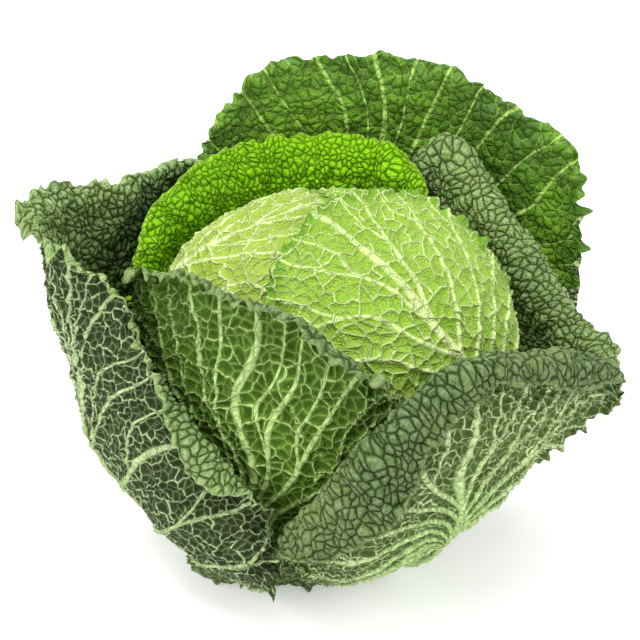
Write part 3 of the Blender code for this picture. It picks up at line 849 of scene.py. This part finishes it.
def net_masks(tree, flat, wide):
    """Masks of the net's links, threads and creases, its fields and a fine height, by their
    names. A cell edge is a link where the large cells of the two nearest small ones differ, as
    in cell_net()."""
    size = wide["Thread Cell"]
    nearest = [cells(tree, flat, size, THREAD_RANDOM, rank, "Position") for rank in ("F1", "F2")]
    homes = [cells(tree, point, wide["Link Cell"], LINK_RANDOM, "F1", "Position") for point in nearest]
    apart = put(tree, "ShaderNodeVectorMath", *homes, operation="DISTANCE").outputs["Value"]
    thread = times(tree, cells(tree, flat, size, THREAD_RANDOM, "DISTANCE_TO_EDGE", "Distance"), size)
    link = between(tree, maths(tree, "DIVIDE", thread, wide["Link Width"]), 0.5, 1.3, 1.0, 0.0)
    flank = put(tree, "ShaderNodeMapRange", thread, 0.0, times(tree, size, FLANK), 1.0, 0.0).outputs[0]
    fine_size = times(tree, size, 0.36)
    fine = times(tree, cells(tree, flat, fine_size, 1.0, "DISTANCE_TO_EDGE", "Distance"), fine_size)
    return dict(
        Link=times(tree, link, maths(tree, "GREATER_THAN", apart, 0.0001)),
        Thread=between(tree, maths(tree, "DIVIDE", thread, wide["Thread Width"]), 0.4, 1.4, 1.0, 0.0),
        Crease=between(tree, thread, 0.0, 0.5, 1.0, 0.0),
        Field=maths(tree, "SUBTRACT", 1.0, times(tree, flank, flank)),
        Fine=between(tree, fine, 0.0, 0.55))


def vein_net_group():
    """Node group that finds the veins of a leaf from its flat map and its vein fields.

    Its widths and cell sizes are in millimetres. It gives the masks of the ribs, of the links
    between them, of the threads and of the creases along the threads, how far a point is into
    its field, a fine height, the share of the leaf's length and the distance to its edge.
    """
    name = "Vein Net"
    if name in bpy.data.node_groups:
        return bpy.data.node_groups[name]
    tree = bpy.data.node_groups.new(name, "ShaderNodeTree")
    face = tree.interface
    for label, value in (("Rib Width", 1.0), ("Link Width", 0.6), ("Thread Width", 0.4),
                         ("Link Cell", 13.0), ("Thread Cell", 5.5)):
        face.new_socket(label, in_out="INPUT", socket_type="NodeSocketFloat").default_value = value
    wide = put(tree, "NodeGroupInput").outputs
    ribs, place = (split(tree, put(tree, "ShaderNodeAttribute", attribute_name=key).outputs["Vector"])
                   for key in ("ribs", "place"))
    flat = put(tree, "ShaderNodeUVMap", uv_map="flat").outputs[0]
    results = dict(Rib=rib_mask(tree, ribs, place, wide["Rib Width"]), **net_masks(tree, flat, wide),
                   Along=place[1], Edge=place[2])
    for label in results:
        face.new_socket(label, in_out="OUTPUT", socket_type="NodeSocketFloat")
    out = put(tree, "NodeGroupOutput").inputs
    for label, value in results.items():
        tree.links.new(value, out[label])
    return tree


def leaf_colour(tree, net, spot, speck, looks, tone):
    """Colour of a leaf: patches on the field, then bloom, painted shade in the furrows and
    hollows, the rim, the net and the ribs, and, where "dusk" is set, a painted shade on the left.
    """
    def share(value, amount):
        """Value times an amount."""
        return times(tree, value, amount)

    patches = between(tree, grained(tree, spot, 26.0, 3.0), 0.36, 0.64)
    body = blended(tree, share(patches, looks["patchy"]), tone["field"], tone["patch"])
    inwards = between(tree, net["Edge"], 2.0, looks["reach"], looks["frost"], looks["frost_in"])
    frost = share(between(tree, speck, 0.30, 0.70), inwards)
    # On the inner side the bloom is kept to the tops of the puffs, where it is a painted highlight as well as
    # the leaf's waxy bloom.
    if looks["face"] == "inner":
        frost = share(frost, between(tree, net["Field"], 0.1, 0.8))
    body = blended(tree, frost, body, tone["bloom"])
    # Painted shade: the slopes down to the creases, and then the mask named by "dark", are darkened towards
    # the "furrow" colour, as if shade fell in the creases along the threads or in the hollow middles of the
    # fields.
    if looks["dark"] == "Crease":
        slope = between(tree, net["Field"], 0.0, 0.9, 1.0, 0.0)
        body = blended(tree, share(slope, 0.5 * looks["furrow"]), body, tone["furrow"])
    body = blended(tree, share(net[looks["dark"]], looks["furrow"]), body, tone["furrow"])
    if looks["rim"] > 0:
        body = blended(tree, between(tree, net["Edge"], 0.5, looks["rim"], 0.85, 0.0), body, tone["rim"])
    lines = maths(tree, "MAXIMUM", share(net["Link"], looks["link"]), share(net["Thread"], looks["thread"]))
    lines = share(lines, between(tree, net["Along"], 0.05, 0.4, 0.25, 1.0))
    body = blended(tree, lines, body, tone["vein"])
    rib_tone = blended(tree, between(tree, net["Along"], 0.05, 0.7, 1.0, 0.0), tone["vein"], tone["stalk"])
    body = blended(tree, share(net["Rib"], looks["rib"]), body, rib_tone)
    # Painted shade: the finish is darkened towards the furrow colour on the left of the leaf and fades out to
    # the right.
    if "dusk" in looks:
        left = between(tree, split(tree, spot)[0], *looks["dusk"], 0.6, 0.0)
        body = blended(tree, left, body, tone["furrow"])
    return body


def leaf_height(tree, net, speck, looks):
    """Finest relief of a leaf in millimetres: raised fields on its inner side, and raised veins
    and hollow fields on its outer side."""
    field, fine = times(tree, net["Field"], looks["crease"]), times(tree, net["Fine"], looks["fine"])
    if looks["face"] == "inner":
        height = maths(tree, "ADD", field, fine)
    else:
        height = maths(tree, "MAXIMUM", times(tree, net["Link"], 0.5), times(tree, net["Thread"], 0.35))
        height = maths(tree, "SUBTRACT", maths(tree, "SUBTRACT", height, field), fine)
    return maths(tree, "ADD", height, times(tree, speck, 0.15))


def leaf_material(name, leaf, looks, **colours):
    """Leaf finish over one leaf's net. Its colours are the field, the furrow, which is painted
    shade between or in the middle of the fields, the vein, the bloom, the stalk, the patch and,
    with a rim, the rim."""
    material, tree, shader, spot = new_material(name)
    group = put(tree, "ShaderNodeGroup", node_tree=vein_net_group())
    for label, value in zip(("Rib Width", "Link Width", "Thread Width", "Link Cell", "Thread Cell"),
                            (*looks["widths"], *net_cells(leaf))):
        group.inputs[label].default_value = value
    tone = {key: (*colour, 1.0) for key, colour in colours.items()}
    speck = grained(tree, spot, 480.0, 3.0)
    rough = looks["rough"]
    height = leaf_height(tree, group.outputs, speck, looks)
    dress(tree, shader, {
        "Base Color": leaf_colour(tree, group.outputs, spot, speck, looks, tone),
        "Roughness": between(tree, speck, 0.3, 0.7, rough - 0.06, rough + 0.08),
        "Specular IOR Level": 0.15,
        "Normal": bumped(tree, height, 1.0, MM)})
    return material


def waxy(tint, patch, light=1.0):
    """Colours of a loose leaf's inner side with these patches, so many times as light. This makes lit
    and shaded copies of one finish: painted light and shade for leaves the lamps light too little or too
    much.
    """
    colours = dict(field=tint.inner_field, furrow=tint.inner_furrow, vein=tint.inner_vein, bloom=tint.bloom,
                   stalk=tint.stalk, patch=patch, rim=(0.24, 0.34, 0.12))
    return {key: [min(1.0, light * part) for part in colour] for key, colour in colours.items()}


# How one side of a leaf is finished. "face" is the side and "widths" are those of ribs,
# links and threads in millimetres. "patchy" is the strength of the patches, and "frost" and
# "frost_in" that of the bloom at the edge and "reach" millimetres in from it. "dark" is the
# mask that is darkened with painted shade in the "furrow" colour, and "furrow" is how much.
# "link", "thread" and "rib" are how clearly those veins show, "rim" is the width of the
# coloured rim, "rough" the roughness, and "crease" and "fine" are heights of the finest
# relief. "dusk" is the stretch from left to right over which a painted shade fades out.
OUTER = dict(face="outer", widths=(1.15, 0.40, 0.24), patchy=0.5, frost=0.35, frost_in=0.30, reach=70.0,
             dark="Field", furrow=0.85, link=0.9, thread=0.32, rib=1.0, rim=0.0,
             rough=0.5, crease=1.3, fine=0.5)
INNER = dict(face="inner", widths=(0.6, 0.4, 0.3), patchy=0.85, frost=0.8, frost_in=0.45, reach=70.0,
             dark="Crease", furrow=0.6, link=0.0, thread=0.0, rib=0.0, rim=2.5,
             rough=0.55, crease=1.7, fine=0.55)
BACK_INNER = dict(INNER, widths=(1.05, 0.4, 0.3), patchy=0.75, frost_in=0.0, reach=45.0, furrow=0.5, link=0.5,
                  rib=1.0, rim=0.0, rough=0.5, crease=1.2, fine=0.4)
NEAR_OUTER = dict(OUTER, patchy=0.6, frost=0.45, frost_in=0.05, reach=90.0, furrow=0.90, link=0.85,
                  thread=0.30, crease=1.6)
NEAR_INNER = dict(INNER, frost_in=0.6)
BRIGHT_INNER = dict(INNER, patchy=0.6, frost=0.3, frost_in=0.1, reach=40.0, furrow=0.5, link=0.1, rib=0.3,
                    rim=3.0, rough=0.45, crease=1.4, fine=0.4)
BRIGHT_OUTER = dict(BRIGHT_INNER, face="outer", widths=(1.0, 0.5, 0.32))
HEAD_OUTER = dict(OUTER, widths=(1.0, 0.56, 0.26), patchy=0.55, frost=0.0, frost_in=0.25, reach=60.0,
                  furrow=0.55, link=0.8, thread=0.3, rim=11.0, rough=0.45, crease=1.1, fine=0.4)
HEAD_INNER = dict(HEAD_OUTER, face="inner", widths=(0.8, 0.5, 0.3))
HEART_OUTER = dict(HEAD_OUTER, widths=(0.9, 0.45, 0.3), patchy=0.5, frost_in=0.0, dark="Crease", furrow=0.5,
                   link=0.7, rib=0.9, rim=0.0, crease=0.6, fine=0.25)


# ---------------------------------------------------------------- settings


def measure(label, text, value, **more):
    """Property for a number."""
    return FloatProperty(name=label, description=text, default=value, **more)


def cell_size(label, text, value):
    """Property for the size of a net's cells."""
    return measure(label, text, value, unit="LENGTH", min=0.0, precision=4)


def colour(label, text, value):
    """Property for a colour."""
    return FloatVectorProperty(
        name=label, description=text, default=value, subtype="COLOR", size=3, min=0.0, max=1.0)


class CabbageColours(bpy.types.PropertyGroup):
    """Colours of the leaves."""
    outer_field: colour("Outer field", "Fields on the wrapper leaves' outer side", (0.082, 0.132, 0.032))
    outer_furrow: colour("Outer hollows", "Hollow middles of those fields", (0.016, 0.026, 0.007))
    # Painted shade laid in the hollow middles of the wrapper leaves' outer fields.
    outer_vein: colour("Outer veins", "Veins on that side", (0.560, 0.720, 0.350))
    outer_bloom: colour("Outer bloom", "Waxy bloom on that side", (0.185, 0.245, 0.125))
    stalk: colour("Stalk", "Thick base of the ribs", (0.36, 0.58, 0.10))
    light_field: colour("Light field", "The same fields on the right wrapper leaf", (0.225, 0.345, 0.085))
    # Painted shade laid in the hollows of the right wrapper leaf's fields.
    light_furrow: colour("Light hollows", "Hollow middles of those fields", (0.045, 0.085, 0.014))
    middle_field: colour("Middle field", "The same fields on the right inner leaf", (0.260, 0.490, 0.050))
    front_field: colour("Front field", "The same fields on the front inner leaf", (0.205, 0.415, 0.030))
    # Painted shade laid in the hollows of the front and right inner leaves' fields.
    middle_furrow: colour("Middle hollows", "Hollow middles of those leaves' fields", (0.034, 0.085, 0.004))
    middle_vein: colour("Middle veins", "Veins on the outer side of those leaves", (0.560, 0.760, 0.270))
    inner_field: colour("Inner field", "Puffed fields on the inner side", (0.175, 0.260, 0.060))
    # Painted shade laid in the creases between the puffs of the inner side.
    inner_furrow: colour("Inner furrows", "Furrows between those fields", (0.010, 0.022, 0.004))
    inner_vein: colour("Inner veins", "Thin sunken veins on the inner side", (0.22, 0.37, 0.06))
    # On the inner side this bloom lies only on the tops of the puffs, so it is partly a painted highlight.
    bloom: colour("Bloom", "Waxy blue-grey bloom on the inner side", (0.270, 0.355, 0.190))
    back_field: colour("Back field", "Inner side of the back wrapper leaf", (0.185, 0.420, 0.022))
    back_vein: colour("Back veins", "Veins on that side", (0.500, 0.740, 0.160))
    bright_field: colour("Bright field", "Fields of the bright leaf behind the head", (0.290, 0.660, 0.004))
    # Painted shade laid in the creases of the bright leaf.
    bright_furrow: colour("Bright furrows", "Furrows between those fields", (0.025, 0.110, 0.001))
    bright_vein: colour("Bright veins", "Veins of the bright leaf", (0.27, 0.52, 0.04))
    head_field: colour("Head field", "Fields of the head's leaves", (0.400, 0.600, 0.110))
    # Painted shade laid in the hollows and creases of the head's leaves and the heart.
    head_furrow: colour("Head hollows", "Hollow middles of those fields", (0.230, 0.420, 0.020))
    head_vein: colour("Head veins", "Veins of the head's leaves", (0.620, 0.780, 0.300))


class CabbageNet(bpy.types.PropertyGroup):
    """Sizes of the leaf net."""
    link_cell: cell_size("Link cell", "Size of the fields between the links of a loose leaf", 0.0096)
    thread_cell: cell_size("Thread cell", "Size of the puffs between its threads", 0.0037)
    head_link_cell: cell_size("Head link cell", "Size of the fields between the links of a head leaf", 0.0125)
    head_thread_cell: cell_size("Head thread cell", "Size of the puffs between its threads", 0.0056)


class CabbageStudio(bpy.types.PropertyGroup):
    """Studio."""
    camera_distance: measure(
        "Camera distance", "From the camera to the point it looks at", 0.95, unit="LENGTH", min=0.1)
    camera_height: measure(
        "Camera elevation", "Angle of the view above level", math.radians(30.0), subtype="ANGLE")
    lens: measure("Lens", "Focal length", 114.0, unit="CAMERA", min=1.0)
    floor_glow: measure("Floor glow", "Light of the white floor itself", 0.36, min=0.0)
    fill: measure("Fill light", "Strength of the even light from all round", 0.66, min=0.0)
    side: measure("Side lights", "Power of each of the lights on either side, in watts", 9.0, min=0.0)
    softbox: measure("Softbox", "Power of the large light overhead, in watts", 17.0, min=0.0)


# ---------------------------------------------------------------- operators


SURFACES = {
    "loose": (LOOSE_LEAVES, loose_point, 2.0),
    "lobe": (LOBES, lobe_point, 1.0),
    "head": (HEAD_LEAVES, head_point, 1.0),
}


def leaf_settings(name):
    """Settings of one leaf in millimetres: those of its kind, with what it changes in them."""
    kind = next(kind for kind, (leaves, _, _) in SURFACES.items() if name in leaves)
    return {"kind": kind, **KINDS[kind], **OWN[name]}


def net_cells(name):
    """Sizes of the large and the small cells of one piece's net, in millimetres."""
    net = bpy.context.scene.cabbage_net
    if name == "heart" or name in HEAD_LEAVES:
        return net.head_link_cell / MM, net.head_thread_cell / MM
    scale = leaf_settings(name)["scale"]
    return scale * net.link_cell / MM, scale * net.thread_cell / MM


def place_piece(piece, node, slot, *finishes):
    """Gives a piece its finishes and its body, and lets it stand for a CAD node. The slot is not used."""
    for material in finishes:
        piece.data.materials.append(material)
    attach(piece, "root")
    if node:
        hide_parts(node)


def finish_leaf(name, slot, outer, inner):
    """Makes one leaf with its outer and inner finish. A lobe is a fold of another leaf's margin
    and has no CAD node of its own."""
    looks = leaf_settings(name)
    looks["link"], looks["thread"] = net_cells(name)
    leaves, point, last = SURFACES[looks["kind"]]
    node = None if name in LOBES else name
    piece = leaf_sheet(name + "_net" if node else name, lambda f, v: point(leaves[name], f, v), last, looks)
    place_piece(piece, node, slot, outer, inner)


class CABBAGE_OT_head(bpy.types.Operator):
    """Make the four leaves that wrap the head"""
    bl_idname = "cabbage.head"
    bl_label = "Head leaves"

    def execute(self, context):
        tint = context.scene.cabbage_colours
        # In these colours the furrow is painted shade in the hollows of the fields.
        green = dict(field=tint.head_field, furrow=tint.head_furrow, vein=tint.head_vein,
                     bloom=(0.30, 0.52, 0.05), stalk=(0.74, 0.86, 0.38), patch=(0.26, 0.47, 0.03),
                     rim=(0.14, 0.34, 0.02))
        pale = dict(field=(0.45, 0.62, 0.12), furrow=(0.28, 0.43, 0.03), vein=(0.70, 0.83, 0.38),
                    bloom=(0.44, 0.60, 0.10), stalk=(0.80, 0.88, 0.46), patch=(0.36, 0.53, 0.05),
                    rim=(0.20, 0.40, 0.02))
        outer = leaf_material("head_leaf_outer", "head_leaf_front", HEAD_OUTER, **green)
        inner = leaf_material("head_leaf_inner", "head_leaf_front", HEAD_INNER, **green)
        pale_outer = leaf_material("head_left_outer", "head_leaf_left", HEAD_OUTER, **pale)
        for name in HEAD_LEAVES:
            finish_leaf(name, "head_leaf", pale_outer if name == "head_leaf_left" else outer, inner)
        return {"FINISHED"}


class CABBAGE_OT_heart(bpy.types.Operator):
    """Make the ball of young leaves under the head leaves"""
    bl_idname = "cabbage.heart"
    bl_label = "Heart"

    def execute(self, context):
        tint = context.scene.cabbage_colours
        finish = leaf_material(
            "heart_leaf", "heart", HEART_OUTER, field=tint.head_field, furrow=tint.head_furrow,
            vein=tint.head_vein, bloom=tint.head_field, stalk=tint.head_vein, patch=(0.30, 0.50, 0.05))
        place_piece(heart_ball(), "heart", "heart", finish)
        return {"FINISHED"}


class CABBAGE_OT_stump(bpy.types.Operator):
    """Give the cut stump its fibres and its browned cut face"""
    bl_idname = "cabbage.stump"
    bl_label = "Stump"

    def execute(self, context):
        material, tree, shader, spot = new_material("stump_fibre")
        x, y, z = split(tree, spot)
        around = maths(tree, "ARCTAN2", y, x)
        radius = maths(tree, "POWER", maths(tree, "ADD", times(tree, x, x), times(tree, y, y)), 0.5)
        strands = put(tree, "ShaderNodeCombineXYZ", times(tree, around, 9.0), times(tree, radius, 260.0),
                      times(tree, z, 30.0)).outputs[0]
        fibre, speck = grained(tree, strands, 2.0, 4.0), grained(tree, spot, 700.0, 3.0)
        body = blended(tree, between(tree, fibre, 0.35, 0.65), (0.50, 0.52, 0.27, 1), (0.68, 0.68, 0.44, 1))
        cut_face = between(tree, z, 0.0004, 0.0015, 0.75, 0.0)
        body = blended(tree, cut_face, body, (0.34, 0.24, 0.11, 1))
        rings = put(tree, "ShaderNodeTexWave", spot, 160.0, 3.0, 2.0, wave_type="RINGS", rings_direction="Z")
        body = blended(tree, times(tree, rings.outputs["Fac"], 0.2), body, (0.22, 0.16, 0.07, 1))
        height = maths(tree, "ADD", fibre, times(tree, speck, 0.4))
        dress(tree, shader, {
            "Base Color": body, "Roughness": between(tree, speck, 0.3, 0.7, 0.5, 0.75),
            "Specular IOR Level": 0.2, "Normal": bumped(tree, height, 0.8, 0.6 * MM)})
        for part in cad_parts["stump"].material_slots:
            part.material = material
        return {"FINISHED"}


class CABBAGE_OT_inner_leaves(bpy.types.Operator):
    """Make the three loose leaves next to the head"""
    bl_idname = "cabbage.inner_leaves"
    bl_label = "Inner leaves"

    def execute(self, context):
        tint = context.scene.cabbage_colours
        veined = dict(furrow=tint.middle_furrow, vein=tint.middle_vein)
        # The front leaf's left side gets a painted shade, set by "dusk".
        front_looks = dict(NEAR_OUTER, widths=(1.3, 0.46, 0.28), dusk=(-0.088, -0.045))
        front_outer = leaf_material(
            "front_leaf_outer", "inner_leaf_front", front_looks, **veined, field=tint.front_field,
            bloom=(0.26, 0.40, 0.12), stalk=(0.34, 0.66, 0.07), patch=(0.10, 0.24, 0.010))
        front_inner = leaf_material(
            "front_leaf_inner", "inner_leaf_front", NEAR_INNER, **waxy(tint, (0.08, 0.15, 0.025)))
        outer = leaf_material(
            "inner_leaf_outer", "inner_leaf_right", NEAR_OUTER, **veined, field=tint.middle_field,
            bloom=(0.26, 0.38, 0.15), stalk=tint.stalk, patch=(0.055, 0.125, 0.008))
        # This copy is painted 1.5 times as light, for an inner wall that the lamps reach too little.
        inner = leaf_material(
            "inner_leaf_inner", "inner_leaf_right", NEAR_INNER, **waxy(tint, (0.10, 0.17, 0.035), 1.5))
        bright = dict(field=tint.bright_field, furrow=tint.bright_furrow, vein=tint.bright_vein,
                      bloom=(0.26, 0.52, 0.02), stalk=tint.stalk, patch=(0.150, 0.400, 0.003),
                      rim=(0.34, 0.60, 0.04))
        bright_outer = leaf_material("bright_leaf_outer", "inner_leaf_back", BRIGHT_OUTER, **bright)
        bright_inner = leaf_material("bright_leaf_inner", "inner_leaf_back", BRIGHT_INNER, **bright)
        finish_leaf("inner_leaf_back", "bright_leaf", bright_outer, bright_inner)
        finish_leaf("inner_leaf_front", "inner_leaf", front_outer, front_inner)
        finish_leaf("inner_leaf_right", "inner_leaf", outer, inner)
        return {"FINISHED"}


class CABBAGE_OT_wrapper_leaves(bpy.types.Operator):
    """Make the three large wrapper leaves and the small lobes of their margins"""
    bl_idname = "cabbage.wrapper_leaves"
    bl_label = "Wrapper leaves"

    def execute(self, context):
        tint = context.scene.cabbage_colours
        dark = dict(field=tint.outer_field, furrow=tint.outer_furrow, vein=tint.outer_vein,
                    bloom=tint.outer_bloom, stalk=tint.stalk, patch=(0.075, 0.115, 0.030))
        outer = leaf_material("wrapper_leaf_outer", "wrapper_leaf_left", OUTER, **dark)
        back_outer = leaf_material("wrapper_back_outer", "wrapper_leaf_back", OUTER, **dark)
        right_outer = leaf_material(
            "wrapper_right_outer", "wrapper_leaf_right", dict(OUTER, widths=(1.15, 0.42, 0.24)),
            field=tint.light_field, furrow=tint.light_furrow, vein=(0.66, 0.84, 0.40),
            bloom=(0.35, 0.48, 0.20), stalk=(0.52, 0.74, 0.26), patch=(0.10, 0.17, 0.035))
        frill_outer = leaf_material(
            # Its furrow colour is painted shade in the hollows of the fields.
            "wrapper_frill_outer", "wrapper_right_lobe", dict(OUTER, widths=(0.6, 0.4, 0.3)),
            field=(0.26, 0.52, 0.03), furrow=(0.05, 0.15, 0.004), vein=(0.62, 0.82, 0.26),
            bloom=(0.30, 0.55, 0.06), stalk=tint.outer_vein, patch=(0.20, 0.42, 0.03))
        patch = (0.07, 0.14, 0.025)
        inner = leaf_material("wrapper_leaf_inner", "wrapper_leaf_right", INNER, **waxy(tint, patch, 0.95))
        # The left leaf's inner side is a copy painted 1.5 times as light, for its inner wall that the lamps
        # reach too little.
        left_inner = leaf_material("wrapper_left_inner", "wrapper_leaf_left", INNER, **waxy(tint, patch, 1.5))
        # Its furrow colour is painted shade in the creases.
        back_inner = leaf_material(
            "wrapper_back_inner", "wrapper_leaf_back", BACK_INNER, field=tint.back_field,
            furrow=(0.022, 0.065, 0.004), vein=tint.back_vein, bloom=(0.12, 0.20, 0.08), stalk=tint.back_vein,
            patch=(0.050, 0.150, 0.010))
        finish_leaf("wrapper_leaf_back", "wrapper_leaf", back_outer, back_inner)
        finish_leaf("wrapper_leaf_left", "wrapper_leaf", outer, left_inner)
        finish_leaf("wrapper_leaf_right", "wrapper_leaf", right_outer, inner)
        for name in LOBES:
            finish_leaf(name, "wrapper_leaf", frill_outer if name == "wrapper_right_lobe" else outer, inner)
        return {"FINISHED"}


def lay_floor(glow):
    """White floor: a square about the origin that gives off a little light of its own."""
    reach = 3.0
    mesh = bpy.data.meshes.new("floor")
    mesh.from_pydata([(-reach, -reach, 0), (reach, -reach, 0), (reach, reach, 0), (-reach, reach, 0)], [],
                     [(0, 1, 2, 3)])
    material, tree, shader, spot = new_material("floor_white")
    shade = blended(tree, grained(tree, spot, 3.0, 2.0), (0.92, 0.90, 0.93, 1), (0.95, 0.93, 0.96, 1))
    dress(tree, shader, {"Base Color": shade, "Roughness": 0.7, "Specular IOR Level": 0.2,
                         "Emission Color": (1, 1, 1, 1), "Emission Strength": glow})
    mesh.materials.append(material)
    add_object("floor", mesh)


def set_camera(target, studio):
    """Camera that looks at a point from the front, from the height and distance of the settings."""
    rise = studio.camera_height
    camera = add_object("camera", bpy.data.cameras.new("camera"))
    camera.data.lens = studio.lens
    camera.data.sensor_width = 36.0
    camera.data.clip_start = 0.05
    camera.location = target + studio.camera_distance * np.array([0.0, -math.cos(rise), math.sin(rise)])
    camera.rotation_euler = (math.pi / 2 - rise, 0.0, 0.0)
    bpy.context.scene.camera = camera


def hang_light(name, place, size, power, target):
    """Round soft light that faces a point."""
    light = add_object(name, bpy.data.lights.new(name, "AREA"))
    light.data.shape = "DISK"
    light.data.size = size
    light.data.energy = power
    light.location = place
    x, y, z = target - np.array(place)
    light.rotation_euler = (math.atan2(math.hypot(x, y), -z), 0.0, math.atan2(y, x) + 1.5 * math.pi)


def surround(strength):
    """Even white light from all round."""
    world = bpy.data.worlds.new("studio_white")
    world.use_nodes = True
    background = world.node_tree.nodes["Background"].inputs
    dress(world.node_tree, background, {"Color": (1, 1, 1, 1), "Strength": strength})
    bpy.context.scene.world = world


class CABBAGE_OT_stage(bpy.types.Operator):
    """Make the floor, the lights and the camera"""
    bl_idname = "cabbage.stage"
    bl_label = "Studio"

    def execute(self, context):
        studio = context.scene.cabbage_studio
        middle = 0.5 * (np.array(CAD_BOX[0]) + np.array(CAD_BOX[1]))
        lay_floor(studio.floor_glow)
        set_camera(middle + np.array([-0.0024, 0.0085, 0.0127]), studio)
        hang_light("softbox_above", (-0.35, -0.25, 1.6), 1.0, studio.softbox, middle)
        hang_light("softbox_left", (-1.25, -0.75, 1.0), 0.8, studio.side, middle)
        hang_light("softbox_right", (1.25, -0.75, 1.0), 0.8, studio.side, middle)
        hang_light("softbox_back", (0.3, 1.0, 1.1), 0.8, 0.35 * studio.softbox, middle)
        surround(studio.fill)
        context.scene.view_settings.view_transform = "Standard"
        return {"FINISHED"}


class CABBAGE_PT_panel(bpy.types.Panel):
    """Sidebar panel of the cabbage"""
    bl_label = "Savoy Cabbage"
    bl_idname = "CABBAGE_PT_panel"
    bl_space_type = "VIEW_3D"
    bl_region_type = "UI"
    bl_category = "Cabbage"

    def draw(self, context):
        for name in GROUPS:
            group = getattr(context.scene, name)
            for key in group.bl_rna.properties.keys():
                if key not in {"rna_type", "name"}:
                    self.layout.prop(group, key)
        for operator in OPERATORS:
            self.layout.operator(operator.bl_idname)


OPERATORS = (
    CABBAGE_OT_heart, CABBAGE_OT_stump, CABBAGE_OT_head, CABBAGE_OT_inner_leaves, CABBAGE_OT_wrapper_leaves,
    CABBAGE_OT_stage)
GROUPS = {"cabbage_net": CabbageNet, "cabbage_colours": CabbageColours, "cabbage_studio": CabbageStudio}


def register():
    """Adds the classes, and the settings to the scene."""
    for item in (*GROUPS.values(), *OPERATORS, CABBAGE_PT_panel):
        bpy.utils.register_class(item)
    for key, group in GROUPS.items():
        setattr(bpy.types.Scene, key, PointerProperty(type=group))


def unregister():
    """Takes them away again."""
    for key in GROUPS:
        delattr(bpy.types.Scene, key)
    for item in (CABBAGE_PT_panel, *reversed(OPERATORS), *GROUPS.values()):
        bpy.utils.unregister_class(item)


def main():
    """Makes every piece and the studio."""
    register()
    bpy.ops.cabbage.heart()
    bpy.ops.cabbage.stump()
    bpy.ops.cabbage.head()
    bpy.ops.cabbage.inner_leaves()
    bpy.ops.cabbage.wrapper_leaves()
    bpy.ops.cabbage.stage()


if __name__ == "__main__":
    main()
